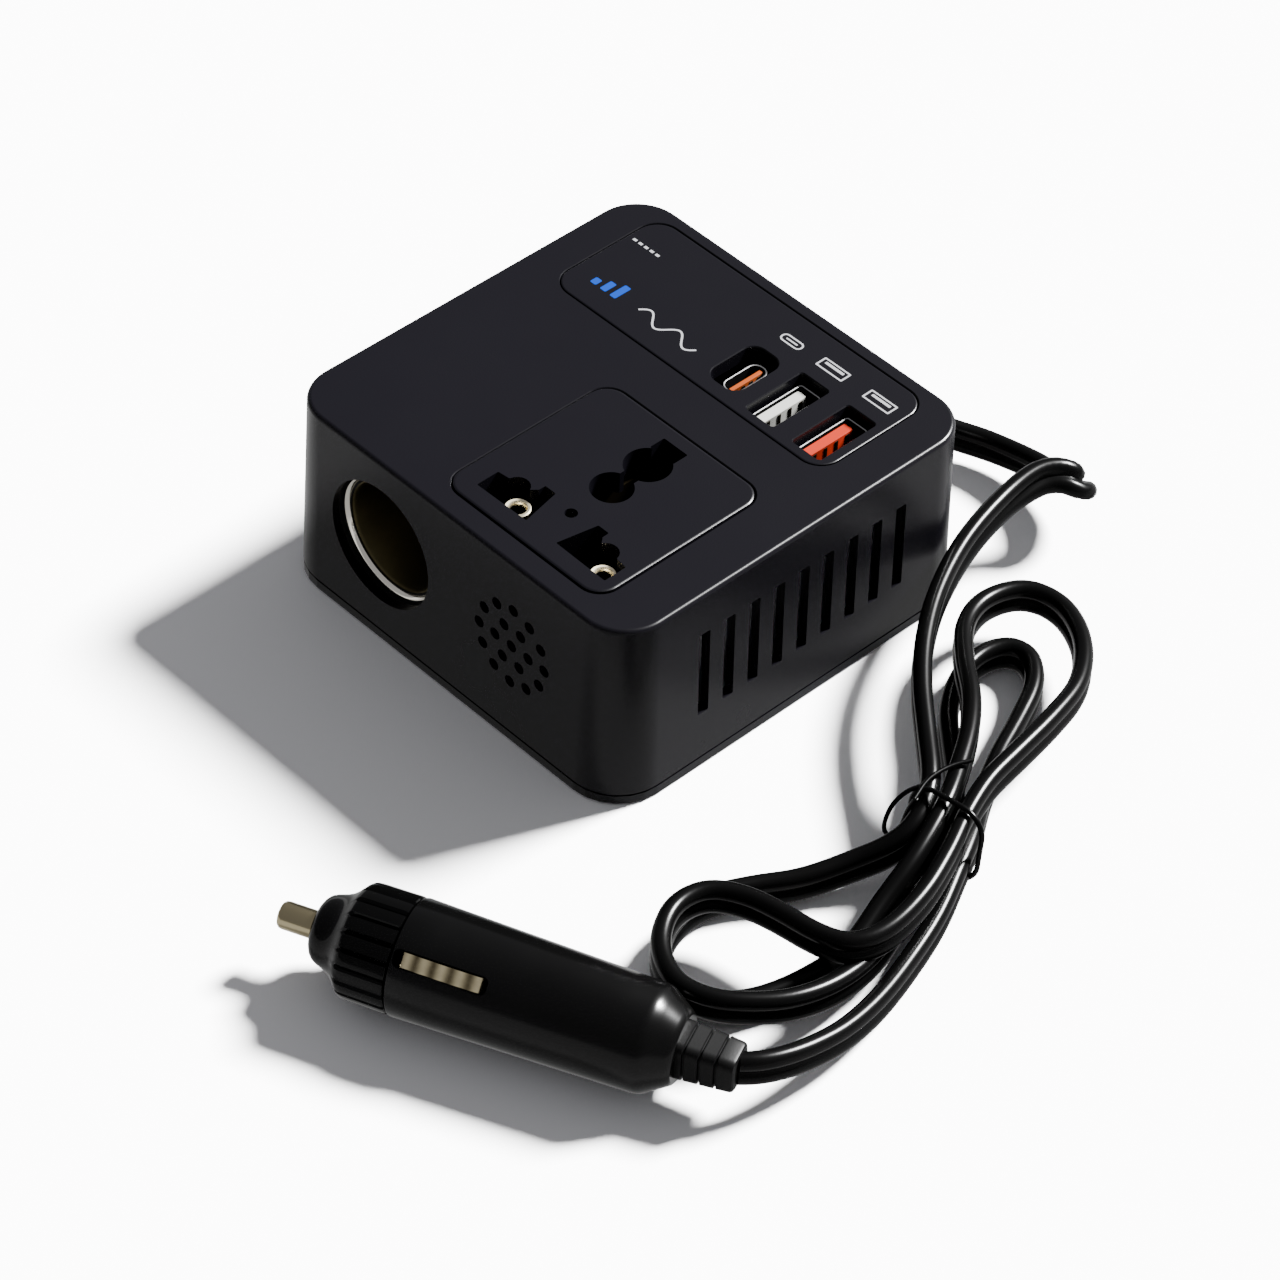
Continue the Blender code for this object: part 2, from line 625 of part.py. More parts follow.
def lead(mat):
    """The lead in three plain solids: gland to bundle, the tied bundle, bundle to plug."""
    tube_object("lead_tube", smooth_route(LEAD_ROUTE, 4.6), LEAD_TUBE_R, mat)
    outline = hank_outline()
    hank = stack_object("lead_hank", [(outline, GAP), (outline, HANK_TOP)], mat)
    combine(hank, tie_notch())
    tube_object("lead_tail", smooth_route(TAIL_ROUTE, 4.6), LEAD_TUBE_R, mat)


def tie_frame():
    """Middle of the tied waist and the directions across it and along it."""
    return Vector((87.44, -6.2, 9.1)), Vector((0.94, 0.34, 0.0)), Vector((0.34, -0.94, 0.0))


def tie_notch():
    """Channel under the bundle's waist, which the tie passes through."""
    centre, across, along = tie_frame()
    corners = []
    for u, v in ((-14, -1.5), (14, -1.5), (14, 1.5), (-14, 1.5)):
        point = centre + across * u + along * v
        corners.append((point.x, point.y))
    bm = bmesh.new()
    add_stack(bm, [(corners, -1.0), (corners, 2.4)])
    return finish("tie_notch", bm, None)


def cord_tie(mat):
    """Wire ring round the bundle's waist."""
    centre, across, along = tie_frame()
    points = []
    for u, v in rounded_rect(9.0, 8.1, 2.0, 3):
        points.append(centre + across * u + Vector((0, 0, 1)) * v)
    tube_object("cord_tie", points, 0.7, mat, 1, True)


def plug(axis, gloss, satin, rubber, nickel, brass, glass):
    """Twelve-volt plug lying on its side, in its own axis frame."""
    cap = [(CAP_FRONT_S, 2.9), (CAP_FRONT_S, 5.6), (7.5, 6.2), (9.2, 6.5), (11.4, 7.2), (13.2, 8.8),
           (COLLAR_FRONT_S, 10.0), (CAP_REAR_S, 10.3), (CAP_REAR_S, 8.4), (12.0, 4.6), (12.0, 2.9)]
    cap_piece = turned_object("plug_cap", cap, gloss, (0, 0, 0), True, 40, "X", axis)
    bm = bmesh.new()
    for index in range(20):
        turn = Matrix.Rotation(math.tau * index / 20, 3, "X")
        new = add_box(bm, (COLLAR_FRONT_S + 0.4, -0.35, 9.8), (CAP_REAR_S + 1, 0.35, 11.0))
        bmesh.ops.rotate(bm, cent=(0, 0, 0), matrix=turn, verts=new)
    combine(cap_piece, finish("cap_grooves", bm, None, axis))
    tip = [(0.0, 0.0), (0.0, 1.9), (0.6, 2.5), (11.0, 2.5), (12.6, 2.5), (12.6, 4.0), (13.4, 4.0), (13.4, 0.0)]
    turned_object("plug_tip", tip, nickel, (0, 0, 0), False, 20, "X", axis)
    fuse = [(13.8, 0.0), (13.8, 3.1), (19.0, 3.1), (19.0, 2.8), (35.0, 2.8), (35.0, 3.1), (40.0, 3.1), (40.0, 0.0)]
    turned_object("plug_fuse", fuse, glass, (0, 0, 0), False, 16, "X", axis)
    bore = 4.6
    body = [(CAP_REAR_S + GAP, bore), (CAP_REAR_S + GAP, BARREL_FRONT_R), (BARREL_REAR_S - 1.2, BARREL_REAR_R),
            (BARREL_REAR_S, BARREL_REAR_R - 0.6), (69.4, 6.6), (69.4, 2.6), (52.0, 2.6), (52.0, bore)]
    body_piece = turned_object("plug_body", body, satin, (0, 0, 0), True, 40, "X", axis)
    springs = smooth_spring(4)
    spring = tube_object("plug_tip_spring", springs, 0.4, nickel, 0)
    spring.parent = axis
    for number, tilt in enumerate((SIDE_CONTACT_TILT, SIDE_CONTACT_TILT + 180.0), 1):
        side_contact(number, tilt, body_piece, brass, axis)
    boot(rubber, axis)


def smooth_spring(turns):
    """Spring points behind the fuse, at the length that the pressed tip leaves it."""
    return [(44.0 + x, y, z) for x, y, z in coil_points(2.9, 7.4, turns, 8)]


def side_contact(number, tilt, body_piece, brass, axis):
    """Leaf contact in a slot along the barrel; it is pressed inwards against its own spring."""
    turn = Matrix.Rotation(math.radians(90.0 - tilt), 3, "X")
    bm = bmesh.new()
    slot = rounded_rect(8.45, 1.5, 0.5, 2, (32.45, 0.0))
    add_stack(bm, [(slot, 6.6), (slot, 12.0)])
    bmesh.ops.rotate(bm, cent=(0, 0, 0), matrix=turn, verts=bm.verts)
    combine(body_piece, finish(f"contact_slot_{number}", bm, None, axis))
    bm = bmesh.new()
    outline = [(24.4, 8.0), (25.4, 9.9), (27.6, 10.9), (32.4, 11.3), (37.2, 10.9), (39.6, 9.8), (40.5, 8.0)]
    add_stack(bm, [(outline, -1.15), (outline, 1.15)])
    bmesh.ops.rotate(bm, cent=(0, 0, 0), matrix=Matrix.Rotation(math.pi / 2, 3, "X"), verts=bm.verts)
    bmesh.ops.rotate(bm, cent=(0, 0, 0), matrix=turn, verts=bm.verts)
    finish(f"plug_side_contact_{number}", bm, brass, axis)


def boot(mat, axis):
    """Boxy rubber strain relief with three grooves."""
    def outline(half_w, half_h):
        return rounded_rect(half_w, half_h, 2.2, 3)
    sizes = [(69.7, 4.9, 4.7), (72.2, 4.9, 4.7), (72.2, 4.3, 4.1), (73.0, 4.3, 4.1), (73.0, 4.8, 4.5),
             (75.6, 4.7, 4.4), (75.6, 4.1, 3.8), (76.4, 4.1, 3.8), (76.4, 4.6, 4.3), (79.0, 4.5, 4.2),
             (79.0, 3.9, 3.6), (79.8, 3.9, 3.6), (79.8, 4.4, 4.1), (PLUG_LENGTH, 4.2, 3.9)]
    bm = bmesh.new()
    add_stack(bm, [(outline(w, h), s) for s, w, h in sizes])
    bmesh.ops.rotate(bm, cent=(0, 0, 0), matrix=Matrix.Rotation(math.pi / 2, 3, "Y"), verts=bm.verts)
    finish("plug_boot", bm, mat, axis)


def build():
    """Make every sub-part."""
    clear_scene()
    shell_black = material("shell_black", (0.020, 0.020, 0.024), 0.42)
    gloss_black = material("gloss_black", (0.012, 0.012, 0.014), 0.16)
    lead_black = material("lead_black", (0.010, 0.010, 0.011), 0.25)
    rubber_black = material("rubber_black", (0.016, 0.016, 0.017), 0.60)
    inner_black = material("inner_black", (0.015, 0.015, 0.016), 0.55)
    nickel = material("nickel", (0.78, 0.72, 0.60), 0.22, 1.0)
    brass = material("brass", (0.80, 0.62, 0.30), 0.28, 1.0)
    steel = material("steel", (0.60, 0.60, 0.60), 0.30, 1.0)
    aluminium = material("aluminium", (0.70, 0.71, 0.72), 0.40, 1.0)
    board_green = material("board_green", (0.03, 0.16, 0.06), 0.45)
    ferrite = material("ferrite", (0.05, 0.05, 0.05), 0.60)
    copper = material("copper_winding", (0.60, 0.22, 0.08), 0.35, 0.6)
    can_blue = material("can_blue", (0.02, 0.05, 0.20), 0.35)
    tongue_white = material("tongue_white", (0.75, 0.75, 0.72), 0.45)
    tongue_orange = material("tongue_orange", (0.85, 0.20, 0.04), 0.42)
    tongue_red = material("tongue_red", (0.80, 0.10, 0.04), 0.42)
    fuse_glass = material("fuse_glass", (0.60, 0.65, 0.66), 0.10)

    upper_shell(shell_black)
    base_cover(shell_black)
    base_screws(steel)
    socket_plate(shell_black)
    socket_carrier(inner_black)
    socket_contacts(brass)
    socket_screw(steel)
    usb_panel(shell_black)
    usb_ports(steel, tongue_orange, (tongue_white, tongue_red))
    accessory_socket(nickel, inner_black, brass)
    fan(inner_black, inner_black)
    boards(board_green)
    power_parts(ferrite, copper, can_blue, inner_black, aluminium)
    lead_gland(rubber_black)
    lead(lead_black)
    cord_tie(inner_black)

    axis = bpy.data.objects.new("plug_axis", None)
    bpy.context.scene.collection.objects.link(axis)
    set_place(axis, PLUG_TIP, (0.0, 0.0, math.radians(PLUG_TURN)))
    plug(axis, gloss_black, shell_black, rubber_black, nickel, nickel, fuse_glass)


build()
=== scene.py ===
"""Looks of the power inverter: finishes, fine pieces, lead, floor and light."""

import math

import bmesh
import bpy
from mathutils import Matrix, Vector


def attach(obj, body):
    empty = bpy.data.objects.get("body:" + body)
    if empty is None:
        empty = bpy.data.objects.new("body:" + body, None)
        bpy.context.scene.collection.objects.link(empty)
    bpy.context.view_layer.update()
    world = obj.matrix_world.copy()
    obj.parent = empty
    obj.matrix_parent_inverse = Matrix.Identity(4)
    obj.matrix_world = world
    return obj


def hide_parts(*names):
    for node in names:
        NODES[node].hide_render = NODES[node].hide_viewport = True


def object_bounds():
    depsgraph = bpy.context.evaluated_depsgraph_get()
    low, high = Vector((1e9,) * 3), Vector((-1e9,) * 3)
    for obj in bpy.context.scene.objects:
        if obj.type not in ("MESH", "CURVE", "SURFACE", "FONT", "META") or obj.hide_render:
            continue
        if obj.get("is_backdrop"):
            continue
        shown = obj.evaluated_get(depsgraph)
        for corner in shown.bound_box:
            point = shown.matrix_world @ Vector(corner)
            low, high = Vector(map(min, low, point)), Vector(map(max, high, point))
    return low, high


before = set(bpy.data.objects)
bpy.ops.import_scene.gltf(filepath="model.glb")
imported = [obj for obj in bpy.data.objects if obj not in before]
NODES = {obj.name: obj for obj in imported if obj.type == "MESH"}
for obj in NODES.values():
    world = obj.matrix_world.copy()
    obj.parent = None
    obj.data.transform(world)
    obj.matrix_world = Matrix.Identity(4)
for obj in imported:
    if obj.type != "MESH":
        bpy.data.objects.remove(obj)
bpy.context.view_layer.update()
MM = 0.001

# Camera: place, and the directions of its right, up and back
CAMERA_AT = (0.449997, -0.452339, 0.603101)
CAMERA_RIGHT = (0.68847653, 0.72443515, 0.03455101)
CAMERA_UP = (-0.52242743, 0.46232483, 0.71646725)
CAMERA_BACK = (0.50306028, -0.51132128, 0.6967646)
CAMERA_LENS = 133.49

# Light comes from behind, a little to the right
KEY_FROM = (0.168, 0.720, 0.673)
KEY_POWER = 60.0
KEY_SOFTNESS = 13.0
SKY_POWER = 0.34
FLOOR_SHADE = 0.92
# Floor as glossy rays see it: painted reflection, darker than the floor, with a painted glow though the floor
# is no lamp
FLOOR_TONE_IN_PAINTED_REFLECTION = 0.055
GLOW_IN_PAINTED_REFLECTION = 0.45
FLOOR_HALF = 4000.0

# Finishes
PLASTIC_IOR = 1.5
CLOUD_SCALE = 60.0
SHARP_ANGLE = 30.0

# Box and its openings, in millimetres
BOX_HALF = 45.0
BOX_HEIGHT = 41.4
DRAFT = 1.2
CORNER_R = 10.5
WALL = 2.0
EDGE_R = 0.9
FAN_X = 17.16
FAN_Z = 22.7
SOCKET_X = -17.64
SOCKET_Z = 22.5
AC_X = 12.5
AC_Y = -18.6
AC_HALF = 20.0
AC_HOLES_X = 13.6
USB_X = -0.35
USB_Y = 26.8
USB_HALF_X = 35.0
USB_HALF_Y = 13.8
CAN_LOW = 27.0
CAN_TOP = 39.4
SHELL_FOOT = 2.55
CUT_LOW = 38.0
CUT_TOP = 43.0
SIDE_CUT_DEPTH = 8.0
SOCKET_HOLE_R = 12.9
FAN_HOLE_R = 1.2
FAN_RINGS = ((4.3, 6), (8.4, 12))
LEAD_HOLE_R = 4.6
LEAD_HOLE_Z = 21.0
VENT_COUNT = 9
VENT_FIRST_Y = -23.76
VENT_STEP = 6.093
VENT_Z = 22.8
VENT_HALF = (1.28, 9.5)
INSERT_EDGE = ((0.0, 39.1), (0.0, BOX_HEIGHT - 0.15), (0.08, BOX_HEIGHT + 0.05),
               (0.3, BOX_HEIGHT + 0.17), (0.55, BOX_HEIGHT + 0.2))
PANEL_EDGE = ((0.0, 38.4), (0.0, BOX_HEIGHT - 0.25), (0.05, BOX_HEIGHT - 0.1), (0.2, BOX_HEIGHT - 0.01),
              (0.35, BOX_HEIGHT))
MARK_LOW = 41.39
MARK_HIGH = 41.43

# Openings of the panel: half sizes, corner and place
PORT_OPENINGS = ((3.9, 6.3, 2.6, (5.9, 22.6)), (3.55, 7.25, 0.7, (17.1, 22.4)),
                 (3.55, 7.25, 0.7, (28.9, 22.4)))

# Cans below them: name, place, half sizes and corner
PORT_CANS = (("usb_c_can", (6.4, 22.4), 1.75, 4.4, 1.6), ("usb_a_can_1", (16.9, 22.4), 2.4, 6.2, 0.4),
             ("usb_a_can_2", (28.7, 22.4), 2.4, 6.2, 0.4))

# Tongues in the cans: name, low corner and high corner
PORT_TONGUES = (("usb_c_tongue", (6.1, 18.4, 30.0), (7.0, 26.4, 39.0)),
                ("usb_a_tongue_1", (14.8, 16.6, 30.0), (16.9, 27.6, 39.0)),
                ("usb_a_tongue_2", (26.6, 16.6, 30.0), (28.7, 27.6, 39.0)))

# Spring clips under the insert: name and place; their profile is (minus height, radius)
CLIPS = (("neutral_contact", (4.5, -31.7)), ("live_contact", (26.8, -32.1)))
CLIP_PROFILE = ((-30.0, 1.7), (-38.4, 1.5), (-38.9, 1.55), (-39.25, 1.85), (-39.3, 2.25), (-39.1, 2.45),
                (-38.7, 2.35), (-38.2, 2.0), (-30.0, 2.0))
CLIP_MOUTH = -38.5

# Accessory socket's rings (y, radius)
COLLAR_PROFILE = ((-42.9, 12.9), (-42.9, 13.6), (-40.2, 13.6), (-40.2, 11.0), (-40.4, 11.0), (-41.5, 12.7))
LIP_PROFILE = ((-41.8, 12.6), (-41.95, 12.45), (-41.9, 12.25), (-41.45, 11.8), (-41.2, 11.7), (-41.2, 12.4))
TUBE_PROFILE = ((-40.6, 10.75), (-41.1, 11.1), (-41.15, 12.4), (-40.8, 12.4), (-40.3, 11.1), (-9.5, 11.1),
                (-9.5, 10.5))

# Plug frame
PLUG_TIP = (29.92, -108.39, 10.5)
PLUG_TURN = 23.94
PLUG_AXIS = (math.cos(math.radians(PLUG_TURN)), math.sin(math.radians(PLUG_TURN)), 0.0)
PLUG_START = PLUG_AXIS[0] * PLUG_TIP[0] + PLUG_AXIS[1] * PLUG_TIP[1]
PLUG = Matrix.Translation(PLUG_TIP) @ Matrix.Rotation(math.radians(PLUG_TURN), 4, "Z")

# Plug's side contacts: tilt round the barrel, and the waves along their backs
LEAF_TILTS = (44.0, -136.0)
LEAF_FROM = 25.8
LEAF_TO = 38.6
LEAF_START = PLUG_START + LEAF_FROM
LEAF_WAVE = 0.35
LEAF_PITCH = 3.2
LEAF_THICK = 0.6
LEAF_HALF_WIDTH = 1.3
LEAF_CENTRE = ((24.5, 8.3), (24.9, 9.3), (25.8, 10.3), (27.4, 10.9), (30.0, 11.2), (33.0, 11.3), (36.0, 11.1),
               (38.2, 10.7), (39.6, 9.9), (40.3, 8.9), (40.45, 8.2))

# Plug's turned pieces: profiles (along, radius)
CAP_OUTER = ((6.9, 3.0), (6.92, 3.5), (7.0, 4.1), (7.2, 4.7), (7.55, 5.3), (8.05, 5.8), (8.8, 6.2),
             (9.7, 6.5), (10.6, 6.8), (11.7, 7.35), (12.7, 8.2), (13.5, 9.1), (14.1, 9.75), (14.5, 10.05),
             (14.9, 10.2), (15.6, 10.28), (17.0, 10.3), (19.0, 10.32), (21.0, 10.35), (22.8, 10.38),
             (23.2, 10.32), (23.4, 10.1))
CAP_INNER = ((23.4, 8.4), (12.0, 4.6), (12.0, 3.0))
BARREL_OUTER = ((23.72, 10.1), (23.8, 10.35), (24.1, 10.45), (30.0, 10.33), (40.0, 10.13), (50.0, 9.93),
                (60.0, 9.73), (67.4, 9.58), (68.2, 9.45), (68.9, 9.15), (69.9, 8.5), (71.1, 7.7),
                (72.3, 6.95), (73.0, 6.45), (73.3, 6.0))
BARREL_INNER = ((73.3, 2.6), (52.0, 2.6), (52.0, 4.6), (23.72, 4.6))
TIP_PROFILE = ((0.0, 0.05), (0.0, 1.7), (0.15, 2.1), (0.5, 2.4), (1.0, 2.5), (12.6, 2.5), (12.6, 4.0),
               (13.4, 4.0), (13.4, 0.05))

# Collar's ribs
RIBS = 20
RIB_GROOVE_SHARE = 0.28
RIB_GROOVE_DEPTH = 0.62
RIBS_FROM = 13.9
RIBS_RUN_OUT = 0.9
RIBS_MIN_RADIUS = 9.0

# Boot: start, grooves, and each groove's section (step along, depth)
BOOT_FROM = 73.2
BOOT_GROOVES = (74.6, 77.4, 80.2)
GROOVE_SECTION = ((-0.3, 0.0), (-0.2, 0.12), (-0.14, 0.45), (0.14, 0.45), (0.2, 0.12), (0.3, 0.0))
BOOT_END = ((82.8, 3.75, 3.5), (83.2, 3.6, 3.35), (83.4, 3.3, 3.05))

# Lead: a flat twin cord on edge
CORD_LOBE_R = 1.8
CORD_LOBE_AT = 1.6
CORD_WAIST_ANGLE = 62.7
CORD_LOBE_STEPS = 10
LEAD_SPACING = 1.2
LEAD_RELAX_ROUNDS = 3

# Tie: middle and directions of its loop, its small eye, and its free end over the top
TIE_CENTRE = Vector((90.8, -10.0, 9.0))
TIE_ACROSS = Vector((0.94, 0.34, 0.0))
TIE_ALONG = Vector((0.34, -0.94, 0.0))
TIE_LOOP_R = 0.5
TIE_END_R = 0.42
TIE_SIDES = 10
TIE_EYE = ((85.0, -9.1, 16.2), (83.2, -11.8, 15.0), (82.1, -14.1, 12.5), (82.0, -15.7, 9.5),
           (82.4, -15.9, 7.0), (83.7, -15.2, 6.5), (84.4, -14.1, 9.0), (84.8, -13.2, 12.5),
           (85.8, -12.6, 15.8))
TIE_END = ((85.9, -13.2, 16.0), (84.6, -8.3, 16.6), (84.9, -3.3, 16.6), (86.3, 0.8, 16.4))


class Wire:
    """A shader socket that takes part in sums like a number."""

    def __init__(self, tree, socket):
        self.tree = tree
        self.socket = socket

    def node(self, kind, settings=None, inputs=None, output=0):
        """Add a node with settings and input values or links, and give back one of its outputs."""
        made = self.tree.nodes.new(kind)
        for key, value in (settings or {}).items():
            setattr(made, key, value)
        for key, value in (inputs or {}).items():
            if isinstance(value, Wire):
                self.tree.links.new(value.socket, made.inputs[key])
            else:
                made.inputs[key].default_value = value
        return Wire(self.tree, made.outputs[output])

    def _math(self, operation, first, second):
        """A Math node on two numbers or links."""
        return self.node("ShaderNodeMath", {"operation": operation}, {0: first, 1: second})

    def __add__(self, other):
        return self._math("ADD", self, other)

    __radd__ = __add__

    def __sub__(self, other):
        return self._math("SUBTRACT", self, other)

    def __rsub__(self, other):
        return self._math("SUBTRACT", other, self)

    def __mul__(self, other):
        return self._math("MULTIPLY", self, other)

    __rmul__ = __mul__


def surface(name, colour, roughness, metallic=0.0, grain=0.0, grain_size=0.3, vary=0.06, specular=0.5):
    """A finish with a fine grain and a little uneven gloss."""
    mat = bpy.data.materials.new(name)
    mat.use_nodes = True
    tree = mat.node_tree
    shader = tree.nodes["Principled BSDF"]
    shader.inputs["Base Color"].default_value = (*colour, 1.0)
    shader.inputs["Metallic"].default_value = metallic
    shader.inputs["Specular IOR Level"].default_value = specular
    shader.inputs["IOR"].default_value = PLASTIC_IOR
    place = Wire(tree, None).node("ShaderNodeTexCoord", output=3)
    cloud = place.node("ShaderNodeTexNoise", None, {"Vector": place, "Scale": CLOUD_SCALE, "Detail": 3.0})
    gloss = cloud * (2 * vary) + (roughness - vary)
    tree.links.new(gloss.socket, shader.inputs["Roughness"])
    if grain:
        fine = place.node("ShaderNodeTexNoise", None,
                          {"Vector": place, "Scale": 1 / (grain_size * MM), "Detail": 2.0})
        bump = fine.node("ShaderNodeBump", None, {"Strength": grain, "Distance": 0.0001, "Height": fine})
        tree.links.new(bump.socket, shader.inputs["Normal"])
    return mat


def banded_leaf(name, painted_shade_colour, light, roughness):
    """Plated spring leaf, painted darker in bands between the crests of its waves: painted shade, with a
    little random tone.
    """
    mat = surface(name, light, roughness, metallic=1.0, vary=0.04)
    tree = mat.node_tree
    shader = tree.nodes["Principled BSDF"]
    place = Wire(tree, None).node("ShaderNodeTexCoord", output=3)
    turned = place.node("ShaderNodeVectorMath", {"operation": "DOT_PRODUCT"},
                        {0: place, 1: PLUG_AXIS}, output=1)
    phase = (turned - LEAF_START * MM) * (math.tau / (LEAF_PITCH * MM))
    wave = phase.node("ShaderNodeMath", {"operation": "SINE"}, {0: phase}) * 0.5 + 0.5
    cloud = place.node("ShaderNodeTexNoise", None, {"Vector": place, "Scale": 900.0, "Detail": 2.0})
    # Painted shade: dark bands in step with the waves, plus a little noise
    share = wave * 0.8 + cloud * 0.3
    mix = share.node("ShaderNodeMix", {"data_type": "RGBA"},
                     {0: share, 6: (*painted_shade_colour, 1.0), 7: (*light, 1.0)}, output=2)
    tree.links.new(mix.socket, shader.inputs["Base Color"])
    return mat


def dress(names, mat):
    """Give CAD nodes a finish."""
    for name in names:
        mesh = NODES[name].data
        mesh.materials.clear()
        mesh.materials.append(mat)


def finish_piece(name, bm, mats, body, angle=35.0, matrix=None):
    """Turn a millimetre mesh into a piece that rides a body."""
    bmesh.ops.remove_doubles(bm, verts=bm.verts, dist=1e-4)
    bmesh.ops.recalc_face_normals(bm, faces=bm.faces)
    if matrix:
        bmesh.ops.transform(bm, matrix=matrix, verts=bm.verts)
    bmesh.ops.scale(bm, vec=(MM, MM, MM), verts=bm.verts)
    mesh = bpy.data.meshes.new(name)
    bm.to_mesh(mesh)
    bm.free()
    mesh.shade_smooth()
    mesh.set_sharp_from_angle(angle=math.radians(angle))
    for mat in mats if isinstance(mats, (list, tuple)) else [mats]:
        mesh.materials.append(mat)
    obj = bpy.data.objects.new(name, mesh)
    bpy.context.scene.collection.objects.link(obj)
    if body:
        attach(obj, body)
    return obj


def cutter_piece(name, bm, matrix=None):
    """A solid that only serves to cut another, which removes it."""
    return finish_piece(name, bm, [], None, SHARP_ANGLE, matrix)


def carve(piece, cutters, weighted=False):
    """Cut solids out of a piece for good and keep its edges crisp."""
    for cutter in cutters:
        modifier = piece.modifiers.new("cut", "BOOLEAN")
        modifier.operation = "DIFFERENCE"
        modifier.solver = "EXACT"
        modifier.object = cutter
    shown = bpy.context.evaluated_depsgraph_get()
    shown.update()
    mesh = bpy.data.meshes.new_from_object(piece.evaluated_get(shown))
    piece.modifiers.clear()
    piece.data = mesh
    for cutter in cutters:
        bpy.data.objects.remove(cutter)
    mesh.shade_smooth()
    mesh.set_sharp_from_angle(angle=math.radians(SHARP_ANGLE))
    if weighted:
        modifier = piece.modifiers.new("even_normals", "WEIGHTED_NORMAL")
        modifier.keep_sharp = True
        modifier.weight = 100


def revolve(bm, profile, segments, shape=None):
    """A closed ring of profile points (along, radius) spun about X; shape changes a radius by place."""
    verts = [bm.verts.new((along, radius, 0.0)) for along, radius in profile]
    edges = [bm.edges.new((vert, verts[index - 1])) for index, vert in enumerate(verts)]
    bmesh.ops.spin(bm, geom=verts + edges, cent=(0, 0, 0), axis=(1, 0, 0), dvec=(0, 0, 0), angle=math.tau,
                   steps=segments, use_merge=True)
    for vert in bm.verts if shape else ():
        radius = math.hypot(vert.co.y, vert.co.z)
        scale = shape(vert.co.x, radius, math.atan2(vert.co.z, vert.co.y)) / radius
        vert.co.yz = vert.co.yz * scale


def rounded_rect(half_x, half_y, radius, steps=6):
    """Points of a rectangle with round corners, counter-clockwise."""
    points = []
    for side_x, side_y, start in ((1, 1, 0.0), (-1, 1, 90.0), (-1, -1, 180.0), (1, -1, 270.0)):
        for step in range(steps + 1):
            angle = math.radians(start + 90.0 * step / steps)
            points.append((side_x * (half_x - radius) + radius * math.cos(angle),
                           side_y * (half_y - radius) + radius * math.sin(angle)))
    return points


def loft(bm, rings, joined=False):
    """A solid drawn from ring to ring by extrusion; joined drops the two ends, to meet in a loop."""
    first = bm.faces.new([bm.verts.new(place) for place in rings[0]])
    face = first
    for ring in rings[1:]:
        grown = bmesh.ops.extrude_face_region(bm, geom=[face])
        if face != first:
            bm.faces.remove(face)
        face = next(item for item in grown["geom"] if isinstance(item, bmesh.types.BMFace))
        for vert, place in zip(face.verts, ring):
            vert.co = place
    if joined:
        bm.faces.remove(first)
        bm.faces.remove(face)


def add_stack(bm, levels, joined=False):
    """A closed solid through outlines of equal length, each at its own z."""
    loft(bm, [[(x, y, z) for x, y in outline] for outline, z in levels], joined)


def smooth_route(points, spacing):
    """Evenly spaced points on a smooth curve through a route's points; extra numbers ride along."""
    route = [Vector(point) for point in points]
    route = [2 * route[0] - route[1]] + route + [2 * route[-1] - route[-2]]
    fine = []
    steps = 24
    for before, start, end, after in zip(route, route[1:], route[2:], route[3:]):
        for step in range(steps):
            t = step / steps
            square = (2 * before - 5 * start + 4 * end - after) * t * t
            cube = (3 * start - before - 3 * end + after) * t * t * t
            fine.append((2 * start + (end - before) * t + square + cube) / 2)
    fine.append(route[-2])
    travelled = [0.0]
    for start, end in zip(fine, fine[1:]):
        travelled.append(travelled[-1] + (end - start).xyz.length)
    count = max(2, round(travelled[-1] / spacing))
    spaced = []
    index = 0
    for step in range(count):
        target = travelled[-1] * step / count
        while travelled[index + 1] < target:
            index += 1
        share = (target - travelled[index]) / (travelled[index + 1] - travelled[index])
        spaced.append(fine[index].lerp(fine[index + 1], share))
    spaced.append(fine[-1])
    return spaced


def relax(points, rounds):
    """Even out the small unevenness of a route's spacing, ends kept."""
    for _ in range(rounds):
        moved = list(points)
        for index in range(1, len(points) - 1):
            moved[index] = (points[index - 1] + 2 * points[index] + points[index + 1]) / 4
        points = moved
    return points


def twin_section():
    """Outline of the flat twin cord: two round lobes with a shallow waist between them."""
    outline = []
    for side in (1, -1):
        for step in range(CORD_LOBE_STEPS + 1):
            angle = math.radians(-CORD_WAIST_ANGLE + (180 + 2 * CORD_WAIST_ANGLE) * step / CORD_LOBE_STEPS)
            across = CORD_LOBE_R * math.cos(angle)
            along = CORD_LOBE_AT + CORD_LOBE_R * math.sin(angle)
            outline.append((side * across, side * along))
    return outline


def sweep_twin(bm, path):
    """Skin a twin section along path points (x, y, z, lean)."""
    section = twin_section()
    rings = []
    for index, point in enumerate(path):
        before = path[max(0, index - 1)].xyz
        after = path[min(len(path) - 1, index + 1)].xyz
        ahead = (after - before).normalized()
        up = Vector((0, 0, 1))
        up = (up - ahead * up.dot(ahead)).normalized()
        side = ahead.cross(up)
        lean = math.radians(point[3])
        wide = up * math.cos(lean) + side * math.sin(lean)
        thin = ahead.cross(wide)
        rings.append([point.xyz + thin * u + wide * v for u, v in section])
    loft(bm, rings)


